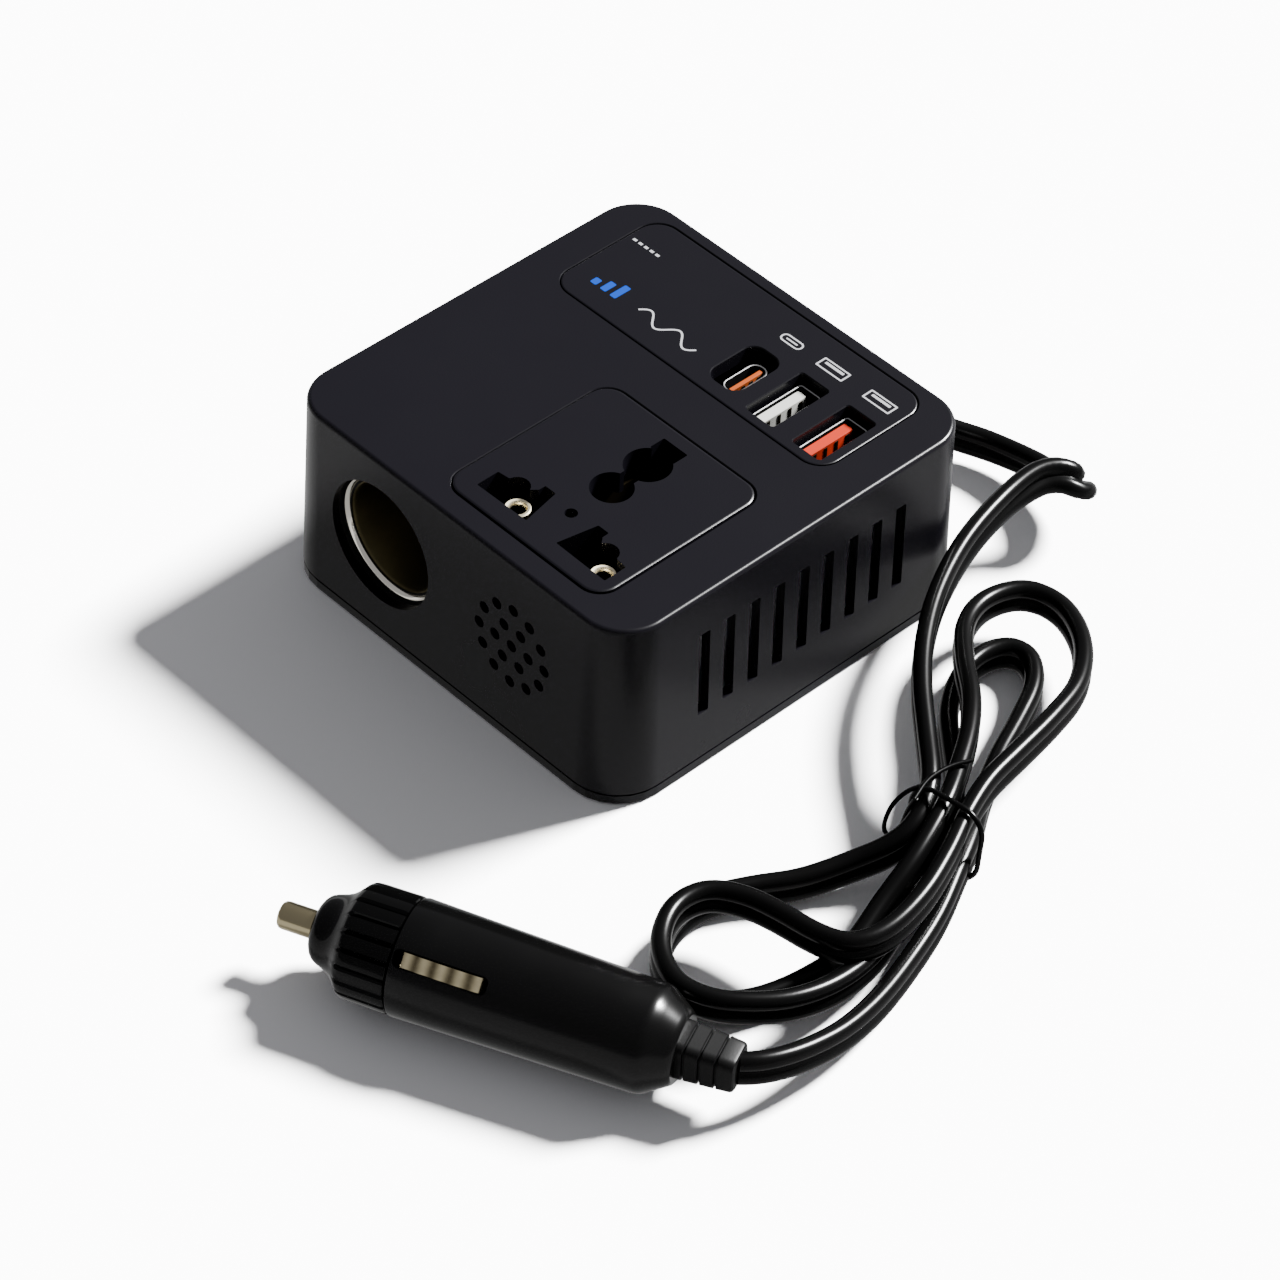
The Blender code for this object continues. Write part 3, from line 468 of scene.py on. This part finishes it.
# Route of the lead, in millimetres, with the lean of its width in degrees
LEAD_ROUTE = (
    (0, 50, 21, 0), (0, 53.6, 20.7, 0), (0.8, 57.2, 18, 0), (3.4, 60.2, 13.6, 0), (8.2, 62.6, 9.8, 0),
    (12.2, 65.8, 7.2, 0), (17.4, 69.0, 5.8, 0), (23.4, 71.8, 5.5, 0),
    (29.7, 73.2, 5.9, 5), (36.7, 73.6, 7.0, 12), (42.5, 73.0, 8.4, 35), (47.2, 71.4, 11.0, 60),
    (48.6, 70.0, 13.4, 80), (46.8, 68.6, 15.2, 60), (43.8, 64.4, 15.6, 34), (43.6, 54.7, 15, 12),
    (47, 40.7, 15, 8), (52.8, 27.3, 14.8, 4), (59.7, 16.6, 14.4, 0), (67.3, 8.2, 13.8, 0),
    (75.3, 1.1, 13.1, 0), (83.8, -6.7, 12.4, 0), (87.6, -14.2, 10.8, 0), (86.8, -19.5, 8.2, 0),
    (83.4, -25.4, 5.6, 0), (79.6, -33.7, 4.2, 0), (74.9, -41.2, 3.8, 0), (71.7, -49.1, 3.8, 0),
    (72.5, -57.9, 3.8, 0), (76.9, -64.5, 3.8, 0), (84.3, -66.4, 3.8, 0), (90.9, -62.8, 3.8, 0),
    (94.4, -56.8, 3.8, 0), (96.4, -48.5, 4, 0), (97, -39.6, 4.8, 0), (94.9, -29.3, 7.6, 0),
    (93.2, -19.9, 10.8, 0), (89.2, -8.8, 12.4, 0), (84.7, -0.6, 12.4, 0), (79.1, 8.1, 12.2, 0),
    (73, 15, 11.8, 0), (65.7, 21, 11.2, 0), (58.9, 28.5, 10.2, 0), (56.4, 36.7, 9.4, 0), (59.1, 44.3, 9, 0),
    (66.6, 46.1, 9, 0), (75.6, 41.6, 9.4, 0), (82.6, 32.8, 10.2, 0), (86, 22.3, 11.2, 0),
    (88.3, 10.7, 12, 0), (90.1, 1.1, 12.4, 0), (93.3, -7.8, 12.4, 0), (97.2, -16.1, 12.3, 0),
    (101, -26.4, 12.2, 0), (102.5, -36.7, 12, 0), (100.4, -43.2, 11.8, 0), (94.5, -45.6, 11.4, 0),
    (87.2, -46.7, 11.2, 0), (80.5, -48.4, 11, 0), (75.1, -52.4, 11, 0), (74.3, -59.5, 11, 0),
    (78.8, -66.7, 11, 0), (86, -70.4, 11, 0), (92.6, -69.1, 11, 0), (97.3, -64.9, 10.6, 0),
    (101.3, -58.1, 9.6, 0), (102.8, -48.9, 8, 0), (101.5, -38.5, 6.4, 0), (97.3, -26.6, 5.6, 0),
    (92.9, -15.5, 5.4, 0), (88.9, -6.4, 5.4, 0), (82.4, 1.9, 5.2, 0), (75.2, 8.4, 4.8, 0),
    (68.7, 14.5, 4.4, 0), (63.9, 21.9, 4, 0), (62, 29.4, 3.8, 0), (63.9, 35.4, 3.8, 0),
    (68.7, 36.1, 3.8, 0), (74, 31.2, 3.8, 0), (78.1, 22.8, 3.9, 0), (82.2, 13.2, 4.4, 0), (87.2, 3.8, 5, 0),
    (93.1, -5.3, 5.4, 0), (97.2, -13.3, 5.2, 0), (101.5, -22.2, 4.6, 0), (104.9, -31.6, 4.6, 0),
    (108.6, -43.7, 5.6, 0), (110.4, -54.1, 7, 0), (110.3, -62.8, 8.6, 0), (109.2, -68.9, 9.8, 0),
    (107.6, -72.8, 10.4, 0), (105.9, -74.8, 10.5, 0),
)


def make_camera():
    """Camera at its place, with no shift and no blur."""
    data = bpy.data.cameras.new("camera")
    data.lens = CAMERA_LENS
    data.sensor_width = 36.0
    data.clip_start = 0.01
    data.clip_end = 20.0
    camera = bpy.data.objects.new("camera", data)
    bpy.context.scene.collection.objects.link(camera)
    turn = Matrix((CAMERA_RIGHT, CAMERA_UP, CAMERA_BACK)).transposed()
    camera.matrix_world = Matrix.Translation(CAMERA_AT) @ turn.to_4x4()
    bpy.context.scene.camera = camera


def make_stage():
    """Pale floor, one key light and an even sky; glossy rays see a painted reflection, a darker floor with a
    painted glow that is no lamp.
    """
    bm = bmesh.new()
    bmesh.ops.create_grid(bm, x_segments=1, y_segments=1, size=FLOOR_HALF)
    mat = bpy.data.materials.new("floor")
    mat.use_nodes = True
    tree = mat.node_tree
    shader = tree.nodes["Principled BSDF"]
    # Painted reflection: to glossy rays the floor turns darker and glows, though it is no lamp
    glossy = Wire(tree, None).node("ShaderNodeLightPath", output=3)
    shade = glossy * (FLOOR_TONE_IN_PAINTED_REFLECTION - FLOOR_SHADE) + FLOOR_SHADE
    tree.links.new(shade.socket, shader.inputs["Base Color"])
    tree.links.new((glossy * GLOW_IN_PAINTED_REFLECTION).socket, shader.inputs["Emission Color"])
    shader.inputs["Emission Strength"].default_value = 1.0
    shader.inputs["Roughness"].default_value = 0.8
    shader.inputs["Specular IOR Level"].default_value = 0.0
    floor = finish_piece("floor", bm, mat, None)
    data = bpy.data.lights.new("key", "SUN")
    data.energy = KEY_POWER
    data.angle = math.radians(KEY_SOFTNESS)
    key = bpy.data.objects.new("key", data)
    bpy.context.scene.collection.objects.link(key)
    key.rotation_mode = "QUATERNION"
    key.rotation_quaternion = (-Vector(KEY_FROM)).to_track_quat("-Z", "Y")
    world = bpy.data.worlds.new("sky")
    world.use_nodes = True
    world.node_tree.nodes["Background"].inputs["Color"].default_value = (0.95, 0.95, 1.0, 1.0)
    world.node_tree.nodes["Background"].inputs["Strength"].default_value = SKY_POWER
    bpy.context.scene.world = world
    floor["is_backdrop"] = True


def make_lead(mat):
    """The flat twin lead in one piece, from the sleeve at the back to the plug's boot."""
    path = relax(smooth_route(LEAD_ROUTE, LEAD_SPACING), LEAD_RELAX_ROUNDS)
    bm = bmesh.new()
    sweep_twin(bm, path)
    lead = finish_piece("lead", bm, mat, "inverter", 60.0)
    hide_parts("lead_tube", "lead_hank", "lead_tail")


def flute(along, radius, angle):
    """Collar ribs: narrow grooves between broad faces, run out at the nose."""
    if radius < RIBS_MIN_RADIUS or along < RIBS_FROM:
        return radius
    turn = (angle * RIBS / math.tau) % 1.0
    from_middle = abs(turn - 0.5) * 2
    depth = max(0.0, (from_middle - (1.0 - RIB_GROOVE_SHARE)) / RIB_GROOVE_SHARE)
    fade = min(1.0, (along - RIBS_FROM) / RIBS_RUN_OUT)
    return radius - RIB_GROOVE_DEPTH * fade * depth ** 0.7


def make_cap(mat):
    """Glossy nose and ribbed collar."""
    bm = bmesh.new()
    revolve(bm, CAP_OUTER + CAP_INNER, 240, flute)
    piece = finish_piece("cap_look", bm, mat, "plug_cap", 28.0, PLUG)
    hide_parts("plug_cap")
    return piece


def make_barrel(mat):
    """Smooth tapered barrel with its two slots."""
    bm = bmesh.new()
    revolve(bm, BARREL_OUTER + BARREL_INNER, 144)
    piece = finish_piece("barrel_look", bm, mat, "inverter", SHARP_ANGLE, PLUG)
    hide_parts("plug_body")
    cutters = []
    for number, tilt in enumerate(LEAF_TILTS, 1):
        bm = bmesh.new()
        slot = [(x + 32.45, y) for x, y in rounded_rect(8.45, 1.62, 1.0, 4)]
        add_stack(bm, [(slot, 6.6), (slot, 12.0)])
        turn = Matrix.Rotation(math.radians(tilt), 4, "X")
        cutters.append(cutter_piece(f"slot_cutter_{number}", bm, PLUG @ turn))
    carve(piece, cutters)
    return piece


def make_side_contact(number, tilt, mat):
    """Bent spring leaf in its slot, pressed into low waves along its back."""
    route = smooth_route([(along, radius, 0.0, 0.0) for along, radius in LEAF_CENTRE], 0.35)
    outer, inner = [], []
    for index, point in enumerate(route):
        ahead = (route[min(index + 1, len(route) - 1)].xyz - route[max(index - 1, 0)].xyz).normalized()
        across = Vector((-ahead.y, ahead.x, 0.0))
        wave = 0.0
        if LEAF_FROM < point.x < LEAF_TO:
            wave = LEAF_WAVE * math.sin(math.pi * (point.x - LEAF_FROM) / LEAF_PITCH) ** 2
        outer.append((point.xyz - across * wave).xy)
        inner.append((point.xyz - across * LEAF_THICK).xy)
    outline = [tuple(place) for place in outer + inner[::-1]]
    bm = bmesh.new()
    add_stack(bm, [(outline, -LEAF_HALF_WIDTH), (outline, LEAF_HALF_WIDTH)])
    turn = Matrix.Rotation(math.radians(tilt), 4, "X") @ Matrix.Rotation(math.pi / 2, 4, "X")
    piece = finish_piece(f"contact_look_{number}", bm, mat, f"plug_contact_{number}", SHARP_ANGLE,
                         PLUG @ turn)
    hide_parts(f"plug_side_contact_{number}")
    return piece


def make_tip(mat):
    """Turned pin with a rounded end."""
    bm = bmesh.new()
    revolve(bm, TIP_PROFILE, 64)
    piece = finish_piece("tip_look", bm, mat, "plug_tip", SHARP_ANGLE, PLUG)
    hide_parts("plug_tip")
    return piece


def boot_half_sizes(along):
    """Half width and half height of the tapering boot."""
    return 4.25 - 0.05 * (along - BOOT_FROM), 4.05 - 0.055 * (along - BOOT_FROM)


def make_boot(mat):
    """Boxy rubber boot with soft edges and three fine grooves round it."""
    sizes = [(BOOT_FROM, 4.2, 4.0)]
    for groove in BOOT_GROOVES:
        for step, sink in GROOVE_SECTION:
            wide, high = boot_half_sizes(groove + step)
            sizes.append((groove + step, wide - sink, high - sink))
    sizes += BOOT_END
    bm = bmesh.new()
    add_stack(bm, [(rounded_rect(wide, high, min(1.7, high - 0.2), 6), along)
                   for along, wide, high in sizes])
    bmesh.ops.rotate(bm, cent=(0, 0, 0), matrix=Matrix.Rotation(math.pi / 2, 3, "Y"), verts=bm.verts)
    piece = finish_piece("boot_look", bm, mat, "inverter", SHARP_ANGLE, PLUG)
    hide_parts("plug_boot")
    return piece


def add_tube(bm, path, radius):
    """A round wire along points; it joins up when the last point is the first."""
    joined = path[0] == path[-1]
    rings = []
    for index, point in enumerate(path):
        after = path[1] if joined and index == len(path) - 1 else path[min(index + 1, len(path) - 1)]
        before = path[-2] if joined and index == 0 else path[max(index - 1, 0)]
        ahead = (after - before).normalized()
        side = ahead.cross(TIE_ALONG).normalized()
        up = side.cross(ahead)
        turns = [math.tau * step / TIE_SIDES for step in range(TIE_SIDES)]
        rings.append([point + (side * math.cos(turn) + up * math.sin(turn)) * radius for turn in turns])
    loft(bm, rings, joined)


def make_tie(mat):
    """Thin wire round the waist, with an eye on one side and its free end laid over the top."""
    loop = []
    for across, up in rounded_rect(7.3, 7.6, 4.6, 8):
        slant = TIE_ALONG * (0.2 * across - 0.12 * up)
        loop.append(TIE_CENTRE + TIE_ACROSS * across + Vector((0, 0, up)) + slant)
    bm = bmesh.new()
    add_tube(bm, loop + [loop[0].copy()], TIE_LOOP_R)
    for route in (TIE_EYE, TIE_END):
        add_tube(bm, [point.xyz for point in smooth_route(route, 0.8)], TIE_END_R)
    piece = finish_piece("tie_look", bm, mat, "inverter", 50.0, None)
    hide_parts("cord_tie")
    return piece


def add_rod(bm, centre, radius, length, axis, segments):
    """A cylinder about its middle, along Y or Z."""
    turns = {"Z": Matrix.Identity(4), "Y": Matrix.Rotation(math.pi / 2, 4, "X")}
    bmesh.ops.create_cone(bm, cap_ends=True, segments=segments, radius1=radius, radius2=radius, depth=length,
                          matrix=Matrix.Translation(centre) @ turns[axis])


def moved(outline, place):
    """An outline shifted in plan."""
    return [(x + place[0], y + place[1]) for x, y in outline]


def box_outline(inset):
    """The box's outline, moved inwards."""
    return rounded_rect(BOX_HALF - inset, BOX_HALF - inset, CORNER_R - inset, 18)


def recess_levels(half_x, half_y, place, groove, flare, step):
    """Levels of a plate's recess; groove, and flare at the top edge, each give (gap to the plate, corner)."""
    inner = moved(rounded_rect(half_x + groove[0], half_y + groove[0], groove[1], 8), place)
    outer = moved(rounded_rect(half_x + flare[0], half_y + flare[0], flare[1], 8), place)
    return [(inner, CUT_LOW), (inner, BOX_HEIGHT - step), (outer, BOX_HEIGHT + 0.01), (outer, CUT_TOP)]


def plate_levels(half_x, half_y, corner, place, edge):
    """Levels of a plate whose outline draws in by each (inset, z) of its edge."""
    return [(moved(rounded_rect(half_x - inset, half_y - inset, corner - inset, 8), place), z)
            for inset, z in edge]


def make_shell(mat):
    """Housing with soft edges and all its openings."""
    levels = [(box_outline(DRAFT + WALL), BOX_HEIGHT - WALL), (box_outline(WALL), SHELL_FOOT),
              (box_outline(0.15), SHELL_FOOT), (box_outline(0.0), SHELL_FOOT + 0.15),
              (box_outline(DRAFT - 0.03), BOX_HEIGHT - EDGE_R)]
    for step in range(1, 7):
        angle = math.radians(15 * step)
        levels.append((box_outline(DRAFT + EDGE_R * (1 - math.cos(angle))),
                       BOX_HEIGHT - EDGE_R * (1 - math.sin(angle))))
    bm = bmesh.new()
    add_stack(bm, levels)
    shell = finish_piece("shell_look", bm, mat, "inverter", SHARP_ANGLE, None)
    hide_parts("upper_shell")
    recess = bmesh.new()
    add_stack(recess, recess_levels(AC_HALF, AC_HALF, (AC_X, AC_Y), (0.32, 4.5), (0.5, 4.7), 0.18))
    add_stack(recess, recess_levels(USB_HALF_X, USB_HALF_Y, (USB_X, USB_Y), (0.25, 4.85), (0.4, 5.0), 0.15))
    holes = bmesh.new()
    add_rod(holes, (SOCKET_X, -BOX_HALF, SOCKET_Z), SOCKET_HOLE_R, SIDE_CUT_DEPTH, "Y", 96)
    places = [(FAN_X, FAN_Z)]
    for radius, count in FAN_RINGS:
        for index in range(count):
            angle = math.tau * index / count
            places.append((FAN_X + radius * math.cos(angle), FAN_Z + radius * math.sin(angle)))
    for x, z in places:
        add_rod(holes, (x, -BOX_HALF, z), FAN_HOLE_R, SIDE_CUT_DEPTH, "Y", 24)
    add_rod(holes, (0.0, BOX_HALF, LEAD_HOLE_Z), LEAD_HOLE_R, SIDE_CUT_DEPTH, "Y", 40)
    vents = bmesh.new()
    for index in range(VENT_COUNT):
        outline = moved(rounded_rect(*VENT_HALF, 0.35, 3), (VENT_FIRST_Y + VENT_STEP * index, VENT_Z))
        add_stack(vents, [(outline, 40.0), (outline, 47.0)])
    to_right = Matrix(((0, 0, 1, 0), (1, 0, 0, 0), (0, 1, 0, 0), (0, 0, 0, 1)))
    carve(shell, [cutter_piece("top_cut", recess), cutter_piece("side_cut", holes),
                  cutter_piece("vent_cut", vents, to_right)], True)


def slot_outline(side):
    """Live or neutral slot: a flat blade, a round pin's bulge and an upright blade in one."""
    half = [(3.85, -34.4), (4.05, -34.55), (16.2, -34.75), (16.35, -34.6), (16.35, -29.9), (16.2, -29.7),
            (13.9, -29.45)]
    for step in range(9):
        angle = math.radians(8 + 150 * step / 8)
        half.append((11.35 + 2.35 * math.cos(angle), -29.6 + 2.3 * math.sin(angle)))
    half += [(8.35, -27.75), (8.15, -27.6), (8.1, -26.15), (7.95, -26.0), (5.6, -26.0), (5.45, -26.15)]
    return [(AC_HOLES_X + side * u, v) for u, v in half]


def add_opening(bm, half_x, half_y, corner, place):
    """A round-cornered upright cutter through the insert."""
    outline = moved(rounded_rect(half_x, half_y, corner, 3), place)
    add_stack(bm, [(outline, 35.0), (outline, CUT_TOP)])


def make_socket_plate(mat):
    """Mains insert with the universal openings."""
    flange = moved(rounded_rect(21.2, 21.2, 5.4, 8), (AC_X, AC_Y))
    levels = [(flange, 36.9), (flange, 39.1)]
    bm = bmesh.new()
    add_stack(bm, levels + plate_levels(AC_HALF, AC_HALF, 4.2, (AC_X, AC_Y), INSERT_EDGE))
    plate = finish_piece("insert_look", bm, mat, "inverter", SHARP_ANGLE, None)
    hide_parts("socket_plate")
    slots = bmesh.new()
    for side in (-1, 1):
        add_stack(slots, [(slot_outline(side), 35.0), (slot_outline(side), CUT_TOP)])
    add_opening(slots, 3.0, 1.75, 0.25, (13.2, -3.4))
    add_rod(slots, (AC_HOLES_X, -27.4, 40.0), 1.2, 10.0, "Z", 32)
    neck = bmesh.new()
    add_opening(neck, 1.75, 3.4, 0.3, (13.5, -13.6))
    front = bmesh.new()
    add_rod(front, (13.5, -17.55, 40.0), 4.05, 10.0, "Z", 64)
    rear = bmesh.new()
    add_rod(rear, (13.4, -8.7, 40.0), 4.5, 10.0, "Z", 64)
    carve(plate, [cutter_piece("slot_cut", slots), cutter_piece("neck_cut", neck),
                  cutter_piece("front_cut", front), cutter_piece("rear_cut", rear)], True)


def make_usb_panel(mat):
    """Long panel with its three port openings."""
    bm = bmesh.new()
    add_stack(bm, plate_levels(USB_HALF_X, USB_HALF_Y, 4.6, (USB_X, USB_Y), PANEL_EDGE))
    panel = finish_piece("panel_look", bm, mat, "inverter", SHARP_ANGLE, None)
    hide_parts("usb_panel")
    ports = bmesh.new()
    for half_x, half_y, corner, place in PORT_OPENINGS:
        inner = moved(rounded_rect(half_x, half_y, corner, 6), place)
        outer = moved(rounded_rect(half_x + 0.2, half_y + 0.2, corner + 0.2, 6), place)
        add_stack(ports, [(inner, 36.0), (inner, BOX_HEIGHT - 0.2), (outer, BOX_HEIGHT + 0.01),
                          (outer, CUT_TOP)])
    carve(panel, [cutter_piece("port_cut", ports)], True)


def add_mark(bm, outline, place, hole=None):
    """A thin printed shape, with an optional hole of as many points."""
    outline = moved(outline, place)
    if hole:
        hole = moved(hole, place)
        add_stack(bm, [(outline, MARK_LOW), (outline, MARK_HIGH), (hole, MARK_HIGH), (hole, MARK_LOW),
                       (outline, MARK_LOW)], True)
    else:
        add_stack(bm, [(outline, MARK_LOW), (outline, MARK_HIGH)])


def wave_outline():
    """Outline of the printed wave: two periods of one even stroke."""
    length, height, half_stroke, periods, steps = 15.2, 1.5, 0.2, 2, 40
    top, bottom = [], []
    for step in range(steps + 1):
        phase = math.tau * periods * step / steps
        x = length * step / steps
        y = height * math.sin(phase)
        slope = height * math.tau * periods / length * math.cos(phase)
        size = math.hypot(1.0, slope)
        top.append((x - half_stroke * slope / size, y + half_stroke / size))
        bottom.append((x + half_stroke * slope / size, y - half_stroke / size))
    return top + bottom[::-1]


def make_marks(white, blue):
    """Plain printed signs: a port outline by each port, a wave, a row of dots and three rising bars."""
    bm = bmesh.new()
    add_mark(bm, rounded_rect(2.6, 1.1, 1.05), (6.4, 34.2), rounded_rect(2.25, 0.75, 0.7))
    add_mark(bm, rounded_rect(1.4, 0.18, 0.1), (6.4, 34.2))
    for centre in (16.8, 28.6):
        add_mark(bm, rounded_rect(3.3, 1.4, 0.25), (centre, 34.4), rounded_rect(2.95, 1.05, 0.15))
        add_mark(bm, rounded_rect(2.3, 0.3, 0.1), (centre, 34.75))
    add_mark(bm, wave_outline(), (-18.6, 19.4))
    for index in range(5):
        add_mark(bm, rounded_rect(0.45, 0.3, 0.1), (-33.5 + index * 1.5, 32.7))
    finish_piece("panel_marks", bm, white, "inverter", SHARP_ANGLE)
    bm = bmesh.new()
    for index, reach in enumerate((0.9, 1.5, 2.1)):
        add_mark(bm, rounded_rect(0.75, reach, 0.3), (-29.6 + index * 2.6, 18.2 + reach))
    finish_piece("panel_bars", bm, blue, "inverter", SHARP_ANGLE)


def make_port(name, place, half_x, half_y, corner, mats):
    """Thin steel can of a port, open at the top: lighter steel on the rim, the rest painted dark as shade."""
    outer = moved(rounded_rect(half_x + 0.3, half_y + 0.3, corner + 0.3), place)
    bead = moved(rounded_rect(half_x + 0.2, half_y + 0.2, corner + 0.2), place)
    inner = moved(rounded_rect(half_x, half_y, corner), place)
    bm = bmesh.new()
    add_stack(bm, [(outer, CAN_LOW), (outer, CAN_TOP - 0.1), (bead, CAN_TOP), (inner, CAN_TOP - 0.05),
                   (inner, CAN_LOW + 1.0)])
    bm.normal_update()
    # Top faces take the lighter rim steel; the walls keep steel painted dark as shade
    for face in bm.faces:
        if abs(face.normal.z) > 0.5 and face.calc_center_median().z > CAN_TOP - 0.2:
            face.material_index = 1
    piece = finish_piece(f"{name}_look", bm, mats, "inverter", SHARP_ANGLE, None)
    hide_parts(name)


def make_tongue(name, low, high, mat, strip_painted_shade):
    """Moulded tongue of a port with its row of contacts down the right side."""
    middle = ((low[0] + high[0]) / 2, (low[1] + high[1]) / 2)
    half_x, half_y = (high[0] - low[0]) / 2, (high[1] - low[1]) / 2
    body = moved(rounded_rect(half_x, half_y, 0.2, 3), middle)
    crown = moved(rounded_rect(half_x - 0.15, half_y - 0.15, 0.1, 3), middle)
    bm = bmesh.new()
    add_stack(bm, [(body, low[2]), (body, high[2] - 0.15), (crown, high[2])])
    piece = finish_piece(f"{name}_look", bm, mat, "inverter", SHARP_ANGLE)
    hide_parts(name)
    # Contact strips, painted dark as shade by the finish given
    bm = bmesh.new()
    for index in range(4):
        spot = (high[0] + 0.02, middle[1] + (index - 1.5) * half_y * 0.5)
        strip = moved(rounded_rect(0.1, 0.42, 0.08, 2), spot)
        add_stack(bm, [(strip, low[2] + 2.0), (strip, high[2] - 0.5)])
    finish_piece(f"{name}_contacts", bm, strip_painted_shade, "inverter", SHARP_ANGLE)


def make_clip(name, place, mats):
    """Socket clip: a bright flared round mouth on a sleeve painted dark as shade."""
    bm = bmesh.new()
    revolve(bm, CLIP_PROFILE, 48)
    # The mouth takes the second finish, brass; the sleeve below keeps the first, painted shade
    for face in bm.faces:
        if face.calc_center_median().x < CLIP_MOUTH:
            face.material_index = 1
    turn = Matrix.Translation((place[0], place[1], 0.0)) @ Matrix.Rotation(math.pi / 2, 4, "Y")
    piece = finish_piece(f"{name}_look", bm, mats, "inverter", 40.0, turn)
    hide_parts(name)


def make_accessory_socket(bright, shade_painted_finish, black):
    """Black collar, bright rolled lip and the tube behind it, painted dark as shade."""
    turn = Matrix.Translation((SOCKET_X, 0.0, SOCKET_Z)) @ Matrix.Rotation(math.pi / 2, 4, "Z")
    for name, profile, mat in (("socket_collar", COLLAR_PROFILE, black), ("socket_lip", LIP_PROFILE, bright),
                               ("socket_tube", TUBE_PROFILE, shade_painted_finish)):
        bm = bmesh.new()
        revolve(bm, profile, 96)
        finish_piece(name, bm, mat, "inverter", 40.0, turn)
    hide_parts("socket_sleeve")


make_camera()

# Plastics and rubber
lead_black = surface("lead_satin", (0.0005, 0.0005, 0.0005), 0.24, vary=0.03, specular=0.06)
shell_black = surface("shell_satin", (0.0009, 0.0008, 0.0013), 0.27, grain=0.10, grain_size=0.25, vary=0.012,
                      specular=0.12)
cap_black = surface("plug_gloss", (0.0003, 0.0003, 0.0003), 0.10, vary=0.02, specular=0.10)
barrel_black = surface("plug_satin", (0.0004, 0.0004, 0.0004), 0.20, grain=0.04, specular=0.14)
rubber = surface("boot_rubber", (0.0008, 0.0008, 0.0008), 0.42, grain=0.1, specular=0.07)
inner_black = surface("inner_plastic", (0.0015, 0.0015, 0.0015), 0.6, specular=0.1)

# Metals
nickel = surface("nickel_plate", (0.36, 0.31, 0.19), 0.20, metallic=1.0, vary=0.05)
# Side contacts: gold plate with painted shade bands
leaf = banded_leaf("contact_leaf", (0.07, 0.05, 0.02), (0.85, 0.74, 0.46), 0.20)
bright_lip = surface("bright_lip", (0.92, 0.88, 0.78), 0.18, metallic=1.0, vary=0.04)
# Inside of the accessory socket's tube: painted shade, a dark metal where the shadow falls
tube_painted_shade = surface("tube_painted_shade", (0.09, 0.075, 0.035), 0.38, metallic=1.0, vary=0.06)
# Port cans: walls in steel painted dark as shade, rim in lighter steel
can_steel_painted_shade = surface("can_steel_painted_shade", (0.03, 0.03, 0.03), 0.35, metallic=1.0)
can_rim = surface("can_rim", (0.35, 0.35, 0.35), 0.25, metallic=1.0)
clip_brass = surface("clip_brass", (0.80, 0.72, 0.52), 0.32, metallic=1.0)
# Brass painted dark as shade, for contacts deep in the sockets and ports
brass_painted_shade = surface("shaded_brass", (0.008, 0.006, 0.003), 0.45, metallic=1.0)

# Plug, tie and box
plug_pieces = [make_cap(cap_black), make_barrel(barrel_black)]
for number, tilt in enumerate(LEAF_TILTS, 1):
    plug_pieces.append(make_side_contact(number, tilt, leaf))
plug_pieces += [make_tip(nickel), make_boot(rubber), make_tie(lead_black)]
make_shell(shell_black)
make_socket_plate(shell_black)
make_usb_panel(shell_black)
make_accessory_socket(bright_lip, tube_painted_shade, inner_black)

# Ports and clips
for name, place, half_x, half_y, corner in PORT_CANS:
    make_port(name, place, half_x, half_y, corner, (can_steel_painted_shade, can_rim))
tongue_mats = (surface("tongue_orange", (0.095, 0.018, 0.003), 0.4, specular=0.05),
               surface("tongue_white", (0.16, 0.16, 0.15), 0.45, specular=0.1),
               surface("tongue_red", (0.125, 0.008, 0.003), 0.4, specular=0.05))
# Tongue contacts take brass painted dark as shade
for (name, low, high), mat in zip(PORT_TONGUES, tongue_mats):
    make_tongue(name, low, high, mat, brass_painted_shade)
# Clips: brass mouths on sleeves painted dark as shade
for name, place in CLIPS:
    make_clip(name, place, (brass_painted_shade, clip_brass))

# Lead, with what hangs on it
make_lead(lead_black)

# CAD nodes that stay
dress(("base_cover",), shell_black)
dress(("lead_gland",), rubber)
dress(("socket_carrier", "socket_cup", "fan_frame", "fan_rotor"), inner_black)
# Contacts deep in the insert: brass painted dark as shade
dress(("earth_contact", "socket_centre_contact"), brass_painted_shade)
dress([f"base_screw_{number}" for number in range(1, 5)] + ["socket_screw"],
      surface("screw_steel", (0.10, 0.10, 0.11), 0.35, metallic=1.0, grain=0.05))
dress(("main_board", "usb_board"),
      surface("board_green", (0.006, 0.045, 0.02), 0.45, grain=0.15, grain_size=0.6))
dress(("transformer_core",), surface("ferrite", (0.02, 0.02, 0.022), 0.6, grain=0.3, grain_size=0.4))
dress(("transformer_winding", "choke"),
      surface("wound_copper", (0.45, 0.16, 0.05), 0.35, metallic=1.0, grain=0.4, grain_size=0.5))
dress([f"capacitor_{number}" for number in range(1, 4)],
      surface("capacitor_sleeve", (0.01, 0.012, 0.03), 0.3))
dress(("heat_sink",), surface("brushed_aluminium", (0.55, 0.55, 0.57), 0.4, metallic=1.0, grain=0.2))
dress([f"transistor_{number}" for number in range(1, 5)],
      surface("epoxy_case", (0.012, 0.012, 0.012), 0.5, grain=0.1))
dress(("plug_fuse",), surface("fuse_glass", (0.55, 0.6, 0.6), 0.12))
dress(("plug_tip_spring",), nickel)

# Printed signs, floor and light
make_marks(surface("white_ink", (0.10, 0.10, 0.105), 0.5, specular=0.1),
           surface("blue_ink", (0.0006, 0.012, 0.085), 0.45, specular=0.03))
make_stage()

low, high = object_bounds()
